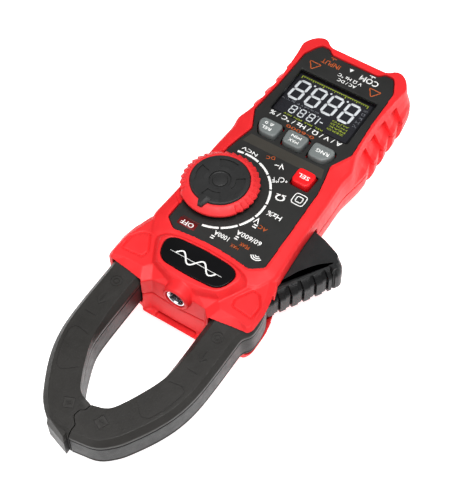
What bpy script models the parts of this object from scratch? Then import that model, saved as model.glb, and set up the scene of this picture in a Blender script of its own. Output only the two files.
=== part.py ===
"""Hand-held digital clamp meter, lying on its back.

World frame: +X to the right of the upright display, +Y from the display toward the jaws, +Z out of
the face. The origin is on the flat back face, in the case's mirror plane.
Plan positions are (x, station) in millimetres. Stations run along the meter toward the jaws, and the
origin lies at ORIGIN_STATION. Heights are millimetres above the back face.
"""
import math

import bmesh
import bpy
from mathutils import Matrix, Vector

MM = 0.001
ORIGIN_STATION = 24.0
GAP = 0.3                      # clearance kept between pieces that meet

# Heights of the case
SEAM = 22.5                    # joint between the two shells, and the middle of the jaws
FACE_TOP, FACE_THICK = 35.0, 1.7
DECK_LOW, DECK_TOP = 31.2, 33.0
HEAD_TOP = 34.0
RIM_TOP = 35.7                 # red rim round the faceplate
HUMP_TOP = 38.0
WALL, FLOOR = 2.4, 2.6

# Jaws and lever
JAW_LOW, JAW_TOP, JAW_BEVEL = 14.5, 32.0, 2.0
BAND_LOW, BAND_TOP = 17.6, 27.4
CORE_LOW, CORE_TOP = 19.5, 27.2
SPLIT_GAP = 0.2                # each jaw stands this far off the split line
PIVOT = (-28.0, 92.0)
PIN_RADIUS, HUB_RADIUS = 3.0, 10.0
LEVER_LOW, LEVER_TOP = 13.4, 28.0

# Selector knob
KNOB = (14.8, 45.7)
KNOB_LOW, KNOB_TOP = 35.4, 41.0
KNOB_BASE, KNOB_RIM, KNOB_TOOTH, CAP_RADIUS = 17.6, 15.2, 1.6, 13.5
ROTOR_RADIUS, SHAFT_RADIUS = 12.0, 5.0

# Circuit board, display and keys
BOARD_LOW, BOARD_TOP = 25.2, 26.8
DISPLAY = (-20.8, 20.8, -34.6, -6.0)
KEY_TOP = 37.3

# Batteries: three AAA cells side by side
CELL_RADIUS, CELL_LENGTH, CELL_PITCH = 5.15, 44.2, 11.2
CELL_HEIGHT, CELL_START = 8.2, -23.0
BAY = (-17.6, 17.6, -31.2, 24.2)
BAY_TOP = 14.6
DOOR = (-17.2, 17.2, -30.8, 32.0)
DOOR_THICK = 2.0

# Sockets, torch and screws
SOCKET_X, SOCKET_HEIGHT, SOCKET_RADIUS, SOCKET_BORE = 10.4, 17.5, 6.2, 4.6
TORCH_HEIGHT = 30.0
CASE_SCREWS = ((20.6, -44.0), (-20.6, -44.0), (23.4, 30.6), (-23.4, 30.6), (0.0, 80.0))
DOOR_SCREW = (0.0, 28.4)

# Half outlines at x >= 0, from the socket end to the jaw end
CASE_HALF = (
    (12.8, -53.4), (16.2, -54.0), (18.9, -57.0), (22.6, -57.4), (27.8, -54.6), (31.2, -50.0),
    (32.5, -41.0), (32.7, -28.0), (33.5, -12.0), (33.3, 0.0), (32.0, 7.4), (31.1, 15.4),
    (31.4, 24.0), (31.7, 50.0), (32.8, 66.0), (33.6, 75.0), (36.4, 82.5), (37.6, 89.0),
    (37.7, 99.6), (36.4, 102.3), (18.6, 104.9), (17.0, 104.9), (15.3, 102.0), (0.0, 102.6))
CAVITY_HALF = CASE_HALF[:-4] + ((0.0, 102.6),)        # the posts beside the mouth stay solid
REAR_TAPER = ((0.0, 0.33), (3.0, 0.22), (8.0, 0.11), (14.0, 0.02))    # height, share of the width lost
FACE_HALF = (
    (12.8, -49.0), (15.4, -51.6), (19.6, -51.6), (21.4, -49.0), (24.2, -43.0), (24.6, -20.0),
    (25.9, -1.0), (20.8, 9.3), (22.7, 18.0), (24.0, 25.0), (24.7, 50.0), (25.1, 71.6),
    (19.7, 75.6), (10.0, 74.4), (0.0, 73.8))
RIM_BASE_HALF = (
    (12.6, -53.2), (15.8, -53.6), (18.8, -56.8), (22.3, -57.1), (25.6, -53.0), (29.0, -44.6),
    (30.8, -20.0), (31.4, -1.0), (30.4, 12.0), (30.4, 18.0), (30.6, 25.0), (30.8, 50.0),
    (31.4, 74.0), (26.0, 79.5), (12.0, 79.5), (0.0, 79.5))
RIM_TOP_HALF = (
    (12.7, -52.9), (15.7, -53.1), (18.8, -56.2), (21.9, -56.4), (24.1, -52.8), (26.4, -44.0),
    (26.2, -20.0), (27.5, -1.0), (22.4, 9.8), (24.3, 18.0), (25.6, 25.0), (26.3, 50.0),
    (26.7, 72.4), (20.2, 77.2), (10.0, 76.0), (0.0, 75.4))
HUMP_BASE_HALF = (
    (0.0, 76.4), (14.0, 77.2), (20.6, 79.0), (21.4, 84.0), (19.8, 93.0), (15.0, 101.4), (0.0, 102.0))
HUMP_TOP_HALF = (
    (0.0, 77.8), (13.6, 78.4), (18.6, 80.4), (19.8, 84.2), (18.0, 91.6), (13.8, 95.6), (0.0, 96.4))
BADGE_HALF = (
    (0.0, 79.4), (13.4, 80.1), (17.0, 81.8), (18.2, 84.5), (16.5, 90.5), (13.0, 93.3), (0.0, 93.9))
JAW_OUTER_HALF = (
    (34.2, 104.0), (34.2, 128.0), (33.4, 140.0), (31.0, 150.0), (26.6, 160.0), (19.6, 171.6),
    (12.6, 178.0), (0.0, 180.0))
JAW_OUTER_TOP_HALF = (
    (32.0, 104.0), (32.0, 128.0), (31.2, 139.4), (28.8, 149.0), (24.6, 158.2), (18.0, 169.4),
    (11.6, 176.0), (0.0, 177.6))
JAW_INNER_HALF = (
    (17.9, 104.0), (17.9, 120.0), (17.8, 136.0), (16.6, 142.5), (14.2, 148.2), (11.6, 154.0),
    (7.2, 161.6), (0.0, 163.6))
JAW_INNER_TOP_HALF = (
    (20.5, 104.0), (20.5, 124.0), (18.6, 136.6), (16.6, 142.5), (14.2, 148.2), (11.6, 154.0),
    (7.2, 161.6), (0.0, 163.6))
SPLIT = ((0.0, 174.6), (1.5, 173.2), (3.0, 171.5), (2.5, 168.4), (0.5, 167.0))
HOOK = ((13.6, 176.4), (11.8, 179.0), (0.6, 182.4), (0.9, 178.0))            # finger stop at the tip
HOOK_TOP = ((12.6, 176.4), (10.0, 178.0), (1.6, 181.2), (1.7, 177.2))
FIXED_ROOT = ((18.2, 81.0), (34.6, 81.0))
FIXED_ROOT_TOP = ((20.0, 81.0), (33.0, 81.0))
MOVING_SIDE = ((-34.6, 84.8), (-36.2, 88.2), (-37.2, 94.5), (-37.2, 100.2))
MOVING_SIDE_TOP = ((-33.4, 85.4), (-34.6, 88.6), (-35.4, 94.5), (-35.4, 99.8))

LEVER_EDGE = (                 # the ribbed outer edge, from the hub down to the tip
    (-35.4, 76.3), (-38.5, 70.6), (-41.6, 65.4), (-44.7, 59.8), (-47.8, 55.1), (-50.1, 51.2))
LEVER_FOOT = (                 # the smooth end, which slides into the case
    (-51.0, 48.4), (-49.4, 45.8), (-45.0, 43.0), (-37.0, 40.0), (-30.6, 38.7), (-29.2, 40.2))
LEVER_INSIDE = ((-28.2, 62.0), (-27.4, 81.4), (-33.6, 81.4))
GRIP_THICK = 1.5

KEYS = {                       # slot, top height and outline of each key at the faceplate
    "range_key": ("key_grey", KEY_TOP, (
        (-8.2, 1.4), (-8.6, 10.2), (-17.0, 10.4), (-20.2, 5.2), (-19.4, 1.4))),
    "max_min_key": ("key_grey", KEY_TOP, ((6.0, 1.4), (5.2, 10.0), (-5.2, 10.0), (-6.0, 1.4))),
    "relative_key": ("key_grey", KEY_TOP, (
        (19.4, 1.4), (20.2, 5.2), (17.0, 10.4), (8.6, 10.2), (8.2, 1.4))),
    "function_key": ("key_red", KEY_TOP + 0.4, (
        (-10.0, 17.8), (-10.2, 26.8), (-19.4, 27.0), (-19.8, 18.0))),
}

FINISHES = {                   # base colour, roughness, metallic
    "case_red": ((0.72, 0.045, 0.05), 0.42, 0.0), "face_grey": ((0.04, 0.04, 0.04), 0.5, 0.0),
    "jaw_black": ((0.045, 0.042, 0.04), 0.55, 0.0), "grip_black": ((0.02, 0.02, 0.02), 0.7, 0.0),
    "window_clear": ((0.5, 0.55, 0.6), 0.05, 0.0), "lcd_dark": ((0.06, 0.06, 0.07), 0.3, 0.0),
    "key_grey": ((0.22, 0.24, 0.24), 0.45, 0.0), "key_red": ((0.9, 0.03, 0.03), 0.4, 0.0),
    "board_green": ((0.02, 0.2, 0.08), 0.5, 0.0), "brass": ((0.7, 0.5, 0.2), 0.3, 1.0),
    "steel": ((0.6, 0.6, 0.62), 0.3, 1.0), "core_steel": ((0.3, 0.3, 0.32), 0.45, 1.0),
    "plain_white": ((0.8, 0.8, 0.8), 0.5, 0.0), "cell_jacket": ((0.1, 0.13, 0.3), 0.4, 0.3)}


# ---------------------------------------------------------------- outlines

def mirrored(half):
    """Closed outline, anticlockwise from above, from its half at x >= 0."""
    return list(half) + [(-x, s) for x, s in reversed(half) if x > 0]


def offset(outline, distance):
    """The anticlockwise outline moved outward by the distance, with mitred corners."""
    count, moved = len(outline), []
    for i, point in enumerate(outline):
        edges = (Vector(point) - Vector(outline[i - 1]), Vector(outline[(i + 1) % count]) - Vector(point))
        sides = [Vector((edge.y, -edge.x)).normalized() for edge in edges]
        middle = (sides[0] + sides[1]).normalized()
        moved.append(tuple(Vector(point) + middle * distance / max(0.5, middle.dot(sides[0]))))
    return moved


def rectangle(x0, x1, s0, s1):
    return [(x0, s0), (x1, s0), (x1, s1), (x0, s1)]


def inset_rectangle(box, distance):
    return rectangle(box[0] + distance, box[1] - distance, box[2] + distance, box[3] - distance)


def arc(centre, radius, start, end, count):
    """Points along an arc between two angles in degrees."""
    angles = [math.radians(start + (end - start) * i / (count - 1)) for i in range(count)]
    return [(centre[0] + radius * math.cos(a), centre[1] + radius * math.sin(a)) for a in angles]


def jaw_outline(side, outer_half, inner_half, root):
    """One jaw in plan: up its outer edge to the tip, down the split line, and back along the opening."""
    gap = side * SPLIT_GAP
    outer = [(side * x, s) for x, s in outer_half[:-1]] + [(gap, outer_half[-1][1])]
    inner = [(gap, inner_half[-1][1])] + [(side * x, s) for x, s in reversed(inner_half[:-1])]
    return outer + [(x + gap, s) for x, s in SPLIT] + inner + list(root)


def moving_root(side_points, radius):
    """The moving jaw's hub, round the pivot from the inner edge to the flush outer side."""
    return arc(PIVOT, radius, 0, -128, 8) + list(side_points)


def core_outline(side, low, high, end, station):
    """The laminated core between two shares of the jaw's width, with its end face at x = end."""
    pairs = list(zip(JAW_OUTER_HALF, JAW_INNER_HALF))
    rows = [[(side * (a[0] + (b[0] - a[0]) * share), a[1] + (b[1] - a[1]) * share) for a, b in pairs]
            for share in (low, high)]
    for row in rows:
        row[0] = (row[0][0], station)
        row[-1] = (end, row[-1][1])
    return rows[0] + list(reversed(rows[1]))


def knob_outline(radius, tooth):
    """A circle with finger notches in three groups."""
    points = []
    for i in range(96):
        angle = math.tau * i / 96
        grip = math.cos(3 * (angle - math.radians(-20))) > 0.1
        reach = radius + (tooth * (0.5 + 0.5 * math.cos(24 * angle)) if grip else 0.0)
        points.append((KNOB[0] + reach * math.cos(angle), KNOB[1] + reach * math.sin(angle)))
    return points


# ---------------------------------------------------------------- solids

def material(slot):
    """The Principled material of this slot, made on first use."""
    if slot in bpy.data.materials:
        return bpy.data.materials[slot]
    colour, roughness, metallic = FINISHES[slot]
    made = bpy.data.materials.new(slot)
    made.use_nodes = True
    shader = made.node_tree.nodes["Principled BSDF"]
    shader.inputs["Base Color"].default_value = (*colour, 1.0)
    shader.inputs["Roughness"].default_value = roughness
    shader.inputs["Metallic"].default_value = metallic
    return made


def world(x, station, height):
    return Vector((x * MM, (station - ORIGIN_STATION) * MM, height * MM))


def axis_empty(name, x, station, height):
    """An empty on a joint's axis. The moving pieces are its children."""
    empty = bpy.data.objects.new(name, None)
    empty.location = world(x, station, height)
    empty.empty_display_size = 0.01
    bpy.context.scene.collection.objects.link(empty)
    return empty


def finished(name, bm, slot, parent=None, smooth=False):
    """An object from a bmesh in world place. A child keeps that place and takes its parent's origin."""
    bmesh.ops.recalc_face_normals(bm, faces=bm.faces)
    if parent:
        bmesh.ops.translate(bm, vec=-parent.location, verts=bm.verts)
    mesh = bpy.data.meshes.new(name)
    bm.to_mesh(mesh)
    bm.free()
    mesh.materials.append(material(slot))
    if smooth:
        mesh.shade_smooth()
        mesh.set_sharp_from_angle(angle=math.radians(35))
    made = bpy.data.objects.new(name, mesh)
    bpy.context.scene.collection.objects.link(made)
    made.parent = parent
    return made


def skinned(rows, closed_ends=True):
    """A bmesh through rows of points of equal count."""
    bm = bmesh.new()
    rings = [[bm.verts.new(point) for point in row] for row in rows]
    for low, high in zip(rings, rings[1:]):
        for i in range(len(low)):
            j = (i + 1) % len(low)
            bm.faces.new((low[i], low[j], high[j], high[i]))
    if closed_ends:
        bm.faces.new(list(reversed(rings[0])))
        bm.faces.new(rings[-1])
    return bm


def loft(name, levels, slot="face_grey", parent=None, smooth=False):
    """A solid through outlines of equal count, each given with its height, from low to high."""
    rows = [[world(x, s, height) for x, s in outline] for outline, height in levels]
    return finished(name, skinned(rows), slot, parent, smooth)


def prism(name, outline, low, high, slot="face_grey", parent=None, smooth=False):
    return loft(name, [(outline, low), (outline, high)], slot, parent, smooth)


def side_prism(name, outline, x0, x1):
    """A prism along X from an outline of (station, height) points."""
    rows = [[world(x, s, height) for s, height in outline] for x in (x0, x1)]
    return finished(name, skinned(rows), "face_grey")


def turned(name, profile, place, axis="+Z", slot="steel", sides=20, parent=None):
    """A solid of revolution from (radius, distance) points. The distances run from place along the axis.
    A profile that starts off the axis is a ring."""
    turns = {"+Z": Matrix.Identity(3), "+Y": Matrix.Rotation(-math.pi / 2, 3, "X")}
    base, turn = world(*place), turns[axis]
    bm = bmesh.new()
    rings = []
    for radius, distance in profile:
        angles = [math.tau * i / sides for i in range(sides if radius > 0 else 1)]
        offsets = [Vector((radius * math.cos(a), radius * math.sin(a), distance)) * MM for a in angles]
        rings.append([bm.verts.new(base + turn @ out) for out in offsets])
    pairs = list(zip(rings, rings[1:]))
    if profile[0][0] > 0:
        pairs.append((rings[-1], rings[0]))
    for first, second in pairs:
        for i in range(sides):
            j = (i + 1) % sides
            corners = (first[i % len(first)], first[j % len(first)],
                       second[j % len(second)], second[i % len(second)])
            bm.faces.new(list(dict.fromkeys(corners)))
    return finished(name, bm, slot, parent, smooth=True)


def disc(name, place, radius, length, axis="+Z", slot="steel", sides=20, parent=None):
    profile = ((0, 0), (radius, 0), (radius, length), (0, length))
    return turned(name, profile, place, axis, slot, sides, parent)


def coil(name, place, radius, wire, pitch, turns, axis="+Z", parent=None, steps=12, sides=5):
    """A helical wire from place along the axis."""
    turn = {"+Z": Matrix.Identity(3), "+Y": Matrix.Rotation(-math.pi / 2, 3, "X")}[axis]
    rows = []
    for i in range(int(turns * steps) + 1):
        angle = math.tau * i / steps
        out = Vector((math.cos(angle), math.sin(angle), 0))
        rise = Vector((0, 0, pitch * i / steps))
        rows.append([world(*place) + turn @ (out * (radius + wire * math.cos(math.tau * k / sides)) + rise
                                             + Vector((0, 0, wire * math.sin(math.tau * k / sides)))) * MM
                     for k in range(sides)])
    return finished(name, skinned(rows), "steel", parent, smooth=True)


def combine(target, other, operation):
    """A Boolean step on the target. The other solid becomes a hidden helper."""
    other.hide_render = True
    other.display_type = "WIRE"
    step = target.modifiers.new(other.name, "BOOLEAN")
    step.operation = operation
    step.solver = "EXACT"
    step.object = other


def cut(target, *cutters):
    for cutter in cutters:
        combine(target, cutter, "DIFFERENCE")


def add(target, *others):
    for other in others:
        combine(target, other, "UNION")


def columns(name, spots, radius, low, high, sides=12):
    return [disc(f"{name}_{i + 1}", (*spot, low), radius, high - low, sides=sides)
            for i, spot in enumerate(spots)]


# ---------------------------------------------------------------- case

def mechanism_space(name, low, high):
    """What the case leaves free for the lever, the hub and both jaw roots, between two heights."""
    jaw_low, jaw_top = max(low, JAW_LOW - GAP), min(high, JAW_TOP + GAP)
    return [
        prism(f"{name}_lever", rectangle(-60.0, -26.0, 37.6, 82.0), max(low, LEVER_LOW - GAP),
              min(high, LEVER_TOP + GAP)),
        prism(f"{name}_hub", rectangle(-60.0, -17.5, 80.0, 120.0), jaw_low, jaw_top),
        prism(f"{name}_root", rectangle(17.5, 35.2, 79.0, 120.0), jaw_low, jaw_top),
        prism(f"{name}_mouth", rectangle(17.5, 60.0, 101.0, 120.0), jaw_low, jaw_top)]


def socket_openings(name):
    return [disc(f"{name}_socket_{label}", (x, -60.0, SOCKET_HEIGHT), SOCKET_RADIUS + GAP, 20.0, "+Y",
                 sides=24) for label, x in (("common", -SOCKET_X), ("input", SOCKET_X))]


def key_openings(label, low, high):
    return [prism(f"{name}_{label}", offset(outline, 0.4), low, high)
            for name, (_, _, outline) in KEYS.items()]


def make_front_shell():
    case, face = mirrored(CASE_HALF), mirrored(FACE_HALF)
    shell = loft("front_shell", [
        (case, SEAM + GAP / 2), (offset(case, -0.3), 30.0), (offset(case, -2.4), HEAD_TOP)], "case_red")
    add(shell,
        loft("rim_form", [(mirrored(RIM_BASE_HALF), 28.6), (mirrored(RIM_TOP_HALF), RIM_TOP)]),
        loft("hump_form", [(mirrored(HUMP_BASE_HALF), 32.6), (mirrored(HUMP_TOP_HALF), HUMP_TOP)]))
    cut(shell, prism("front_cavity", offset(mirrored(CAVITY_HALF), -WALL), SEAM - 2, DECK_LOW))
    add(shell, *columns("front_boss", CASE_SCREWS, 3.3, SEAM + 0.5, DECK_LOW + 0.5),
        turned("torch_boss", ((0, 0), (7.0, 0), (7.0, 6.0), (6.3, 6.6), (0, 6.6)),
               (0, 98.2, TORCH_HEIGHT), "+Y", sides=28))
    slope = ((99.8, 34.6), (106.0, 31.5), (112.0, 31.5), (112.0, 42.0), (99.8, 42.0))
    cut(shell, *mechanism_space("front", SEAM - 2, 36.0), *socket_openings("front"),
        side_prism("front_slope", slope, 17.4, 50.0),
        side_prism("front_slope_left", slope, -50.0, -17.4),
        prism("face_recess", offset(face, GAP), DECK_TOP, 44.0),
        prism("display_opening", inset_rectangle(DISPLAY, -1.6), DECK_LOW - 1, 44.0),
        disc("knob_recess", (*KNOB, 34.7), KNOB_BASE + KNOB_TOOTH + 0.9, 9.0, sides=40),
        disc("rotor_opening", (*KNOB, DECK_LOW - 2), SHAFT_RADIUS + 0.4, 9.0, sides=24),
        prism("badge_recess", offset(mirrored(BADGE_HALF), GAP), HUMP_TOP - 1.2, 44.0),
        turned("torch_bore", ((0, 0), (3.1, 0), (3.1, 7.3), (4.9, 7.3), (4.9, 14), (0, 14)),
               (0, 93.2, TORCH_HEIGHT), "+Y", sides=24),
        disc("front_pin_hole", (*PIVOT, JAW_TOP - 1), PIN_RADIUS + GAP, 2.2),
        *key_openings("opening", DECK_LOW - 1, 44.0),
        *columns("front_screw_hole", CASE_SCREWS, 1.7, SEAM - 2, 29.6))


def rear_levels(outline, lift):
    """The outline narrowed toward the back by REAR_TAPER, with its lowest level raised by lift."""
    levels = []
    for height, loss in REAR_TAPER:
        narrowed = [(x * (1.0 - loss), s) for x, s in outline]
        levels.append((narrowed, height + (lift if height == 0.0 else 0.0)))
    return levels


def make_rear_shell():
    case = mirrored(CASE_HALF)
    inner = offset(mirrored(CAVITY_HALF), -WALL)
    shell = loft("rear_shell", rear_levels(case, 0.0) + [(case, SEAM - GAP / 2)], "case_red")
    cavity = loft("rear_cavity", rear_levels(inner, 1.0) + [(inner, SEAM + 2)])
    combine(cavity, side_prism("cavity_profile", (
        (-70.0, FLOOR), (83.0, FLOOR), (101.0, 12.6), (120.0, 12.6), (120.0, 30.0), (-70.0, 30.0)),
        -50.0, 50.0), "INTERSECT")
    cut(cavity, prism("bay_walls", inset_rectangle(BAY, -1.7), 0.4, BAY_TOP + 1.6),
        prism("door_landing", rectangle(-19.2, 19.2, 24.0, 34.6), 0.4, 4.6),
        disc("door_boss", (*DOOR_SCREW, 0.4), 3.4, 11.6, sides=16),
        disc("pivot_boss", (*PIVOT, 0.4), 6.4, 15.0, sides=20),
        *columns("rear_boss", CASE_SCREWS, 3.5, 0.4, SEAM - 0.5))
    cut(shell, cavity)
    lip = ((99.0, 8.0), (106.2, 10.6), (106.4, 12.4), (103.2, 15.5), (102.9, 22.0), (99.0, 22.0))
    post = ((99.0, 8.0), (107.4, 10.8), (107.4, 13.0), (104.7, 22.0), (99.0, 22.0))
    add(shell, side_prism("lip", lip, -16.0, 16.0),
        side_prism("post_left", post, -17.1, -15.1),
        side_prism("post_right", post, 15.1, 17.1))
    slope = ((77.0, -3.8), (84.0, 0.0), (103.4, 10.4), (112.0, 10.4), (112.0, -3.8))
    cut(shell, side_prism("head_slope", slope, -50.0, 50.0),
        *mechanism_space("rear", 0.0, SEAM + 2), *socket_openings("rear"),
        prism("battery_bay", rectangle(*BAY), -1.0, BAY_TOP),
        prism("door_recess", inset_rectangle(DOOR, -GAP), -1.0, DOOR_THICK + GAP),
        disc("rear_pin_hole", (*PIVOT, 8.0), PIN_RADIUS + GAP, 8.0),
        disc("door_screw_hole", (*DOOR_SCREW, 0.0), 1.4, 9.6, sides=12),
        *columns("rear_counterbore", CASE_SCREWS, 3.1, -1.0, 9.0, sides=16),
        *columns("rear_screw_hole", CASE_SCREWS, 1.7, 8.0, SEAM + 2))


def make_battery_door():
    door = prism("battery_door", rectangle(*DOOR), 0.0, DOOR_THICK, "case_red")
    cut(door, disc("door_countersink", (*DOOR_SCREW, -1.0), 2.7, 2.3, sides=16),
        disc("door_screw_way", (*DOOR_SCREW, 0.5), 1.5, 3.0, sides=12))
    turned("door_screw", ((0, 0), (2.3, 0), (2.3, 0.7), (1.1, 0.8), (1.1, 8.6), (0, 8.6)),
           (*DOOR_SCREW, 0.15), sides=14)


def make_face():
    face = prism("faceplate", mirrored(FACE_HALF), FACE_TOP - FACE_THICK, FACE_TOP, "face_grey")
    cut(face, prism("face_window", rectangle(*DISPLAY), 30.0, 40.0),
        disc("face_knob_hole", (*KNOB, 30.0), SHAFT_RADIUS + 0.4, 10.0, sides=24),
        *key_openings("face_hole", 30.0, 40.0))
    window = prism("display_window", inset_rectangle(DISPLAY, -1.2), 31.8, DECK_TOP, "window_clear")
    add(window, prism("window_step", inset_rectangle(DISPLAY, GAP), 32.4, 34.4))
    prism("lcd_panel", rectangle(-21.6, 21.6, -37.8, -5.2), 29.6, DECK_LOW - GAP, "lcd_dark")
    prism("contact_strip", rectangle(-20.4, 20.4, -37.6, -35.8), BOARD_TOP + GAP, 29.3, "grip_black")
    prism("backlight_panel", inset_rectangle(DISPLAY, -0.5), 27.1, 29.3, "plain_white")
    prism("badge_plate", mirrored(BADGE_HALF), HUMP_TOP - 0.9, HUMP_TOP + 0.2, "face_grey")


def make_keys():
    for name, (slot, top, outline) in KEYS.items():
        middle = Vector((sum(x for x, _ in outline), sum(s for _, s in outline))) / len(outline)
        origin = axis_empty(f"{name}_axis", *middle, FACE_TOP)
        key = loft(name, [(outline, 30.4), (outline, FACE_TOP + 0.6), (offset(outline, -0.4), top - 0.5),
                          (offset(outline, -1.0), top)], slot, origin)
        flange = prism(f"{name}_flange", offset(outline, 0.85), 29.6, DECK_LOW - GAP, slot, origin)
        add(key, flange)
        body = rectangle(middle.x - 2.6, middle.x + 2.6, middle.y - 2.6, middle.y + 2.6)
        switch = prism(name.replace("key", "switch"), body, BOARD_TOP + GAP, 28.0, "plain_white")
        add(switch, disc(f"{name}_plunger", (*middle, 27.5), 1.5, 0.8, sides=12))


# ---------------------------------------------------------------- selector

def make_knob():
    origin = axis_empty("knob_axis", *KNOB, FACE_TOP)
    ring = loft("knob_ring", [
        (knob_outline(KNOB_BASE - 0.3, KNOB_TOOTH), KNOB_LOW),
        (knob_outline(KNOB_BASE, KNOB_TOOTH), KNOB_LOW + 0.7),
        (knob_outline(KNOB_RIM + 0.5, 0.7 * KNOB_TOOTH), KNOB_TOP - 0.8),
        (knob_outline(KNOB_RIM, 0.0), KNOB_TOP)],
        "case_red", origin)
    cut(ring, disc("ring_well", (*KNOB, 38.6), CAP_RADIUS + GAP, 6.0, sides=48, parent=origin),
        disc("ring_bore", (*KNOB, 30.0), SHAFT_RADIUS + GAP, 12.0, sides=24, parent=origin))
    dished = ((0, 0), (12.9, 0), (CAP_RADIUS, 0.4), (CAP_RADIUS, 2.3), (12.6, 2.9), (4.6, 2.6), (4.2, 2.0),
              (0, 2.0))
    cap = turned("knob_cap", dished, (*KNOB, 38.9), slot="face_grey", sides=40, parent=origin)
    wedge = ((-2.4, 9.0), (2.4, 9.0), (1.6, 14.6), (0.0, 16.4), (-1.6, 14.6))
    pointer = [(KNOB[0] + x, KNOB[1] + s) for x, s in wedge]
    add(cap, prism("pointer_form", pointer, 41.3, 42.4, parent=origin))
    stepped = ((0, 0), (ROTOR_RADIUS, 0), (ROTOR_RADIUS, 3.0), (SHAFT_RADIUS, 3.0), (SHAFT_RADIUS, 10.8),
               (0, 10.8))
    rotor = turned("knob_rotor", stepped, (*KNOB, 27.7), slot="plain_white", sides=32, parent=origin)
    cut(rotor, disc("detent_pocket", (KNOB[0] + 8.5, KNOB[1], 28.3), 1.3, 4.0, sides=12, parent=origin))
    turns = [math.pi * i / 6 for i in range(1, 6)]
    ball = [(0, 0)] + [(math.sin(a), 1.0 - math.cos(a)) for a in turns] + [(0, 2.0)]
    turned("detent_ball", ball, (KNOB[0] + 8.5, KNOB[1], 28.9), sides=10, parent=origin)
    wiper = turned("wiper_contact", ((5.0, 0), (7.0, 0), (7.0, 0.3), (5.0, 0.3)), (*KNOB, 27.1),
                   slot="brass", sides=24, parent=origin)
    for i in range(3):
        arm = bmesh.new()
        turn = Matrix.Translation(world(*KNOB, 27.25)) @ Matrix.Rotation(math.tau * i / 3, 4, "Z")
        size = Matrix.Diagonal((4.4 * MM, 1.6 * MM, 0.3 * MM, 1.0))
        bmesh.ops.create_cube(arm, size=1.0, matrix=turn @ Matrix.Translation((8.5 * MM, 0, 0)) @ size)
        add(wiper, finished(f"wiper_arm_{i + 1}", arm, "brass", origin))


# ---------------------------------------------------------------- jaws

def make_jaw(label, side, root, root_top, parent=None):
    """Front cover, middle band, rear cover and laminated core of one jaw."""
    plan = jaw_outline(side, JAW_OUTER_HALF, JAW_INNER_HALF, root)
    edge = jaw_outline(side, JAW_OUTER_TOP_HALF, JAW_INNER_TOP_HALF, root_top)
    front = loft(f"{label}_front_cover", [
        (plan, BAND_TOP + GAP), (plan, JAW_TOP - JAW_BEVEL), (edge, JAW_TOP)], "jaw_black", parent)
    band = prism(f"{label}_band", plan, BAND_LOW, BAND_TOP, "jaw_black", parent)
    rear = loft(f"{label}_rear_cover", [
        (edge, JAW_LOW), (plan, JAW_LOW + JAW_BEVEL), (plan, BAND_LOW - GAP)], "jaw_black", parent)
    return front, band, rear


def make_fixed_jaw():
    front, band, _ = make_jaw("fixed_jaw", 1, FIXED_ROOT, FIXED_ROOT_TOP)
    add(front, loft("hook_slope", [(HOOK, BAND_TOP + GAP), (HOOK_TOP, 30.6)]))
    add(band, prism("hook", HOOK, BAND_LOW, BAND_TOP))
    cut(band, prism("fixed_channel", core_outline(1, 0.21, 0.79, 4.6, 85.8), CORE_LOW - GAP, 30.0),
        prism("fixed_base_channel", rectangle(10.0, 31.0, 85.8, 97.2), CORE_LOW - GAP, 30.0))
    core = prism("fixed_core", core_outline(1, 0.25, 0.75, 5.0, 86.4), CORE_LOW, CORE_TOP, "core_steel")
    add(core, prism("core_base", rectangle(-15.6, 29.6, 86.4, 96.6), CORE_LOW, CORE_TOP - 0.6))
    bobbin = prism("sense_coil", rectangle(-13.4, -4.0, 84.6, 97.8), 17.9, 28.4, "brass")
    cut(bobbin, prism("coil_way", rectangle(-20.0, 0.0, 86.0, 96.9), CORE_LOW - GAP, BAND_TOP - 0.5))
    prism("hall_sensor", rectangle(-17.3, -16.2, 89.4, 93.6), 21.0, 25.4, "face_grey")


def make_moving_jaw():
    origin = axis_empty("jaw_pivot", *PIVOT, SEAM)
    front, band, rear = make_jaw("moving_jaw", -1, moving_root(MOVING_SIDE, HUB_RADIUS),
                                 moving_root(MOVING_SIDE_TOP, HUB_RADIUS - 1.5), origin)
    for piece, radius in ((front, PIN_RADIUS + GAP), (band, PIN_RADIUS + GAP), (rear, 5.8)):
        cut(piece, disc(f"{piece.name}_bore", (*PIVOT, 5.0), radius, 35.0, sides=24, parent=origin))
    channel = core_outline(-1, 0.21, 0.79, -2.6, 101.0)
    cut(band, prism("moving_channel", channel, CORE_LOW - GAP, 30.0, parent=origin))
    tang = ((-31.8, 86.0), (-34.6, 66.0), (-31.2, 66.0), (-28.0, 86.0))
    add(band, prism("lever_tang", tang, BAND_LOW + 1.4, BAND_TOP - 1.4, parent=origin))
    core = core_outline(-1, 0.25, 0.75, -3.0, 101.4)
    prism("moving_core", core, CORE_LOW, CORE_TOP, "core_steel", origin)

    plan = LEVER_EDGE + LEVER_FOOT + LEVER_INSIDE
    lever = prism("trigger_lever", plan, LEVER_LOW, LEVER_TOP, "jaw_black", origin)
    slot = ((-32.0, 87.0), (-35.1, 65.6), (-30.8, 65.6), (-27.6, 87.0))
    cut(lever, prism("tang_slot", slot, BAND_LOW + 1.1, BAND_TOP - 1.1, parent=origin))
    inner = [(x - 0.1 - GAP, s - 0.1) for x, s in LEVER_EDGE]
    outer = [(x - GRIP_THICK, s - 0.6) for x, s in LEVER_EDGE]
    strip = outer + list(reversed(inner))
    prism("lever_grip", strip, LEVER_LOW + 0.4, LEVER_TOP - 0.2, "grip_black", origin)


def make_pivot():
    turned("pivot_pin", ((0, 0), (2.6, 0), (PIN_RADIUS, 0.4), (PIN_RADIUS, 24.1), (2.6, 24.5), (0, 24.5)),
           (*PIVOT, 8.3), sides=24)
    coil("return_spring", (*PIVOT, 14.9), 4.5, 0.4, 0.95, 2.0)


# ---------------------------------------------------------------- inside the case

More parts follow.
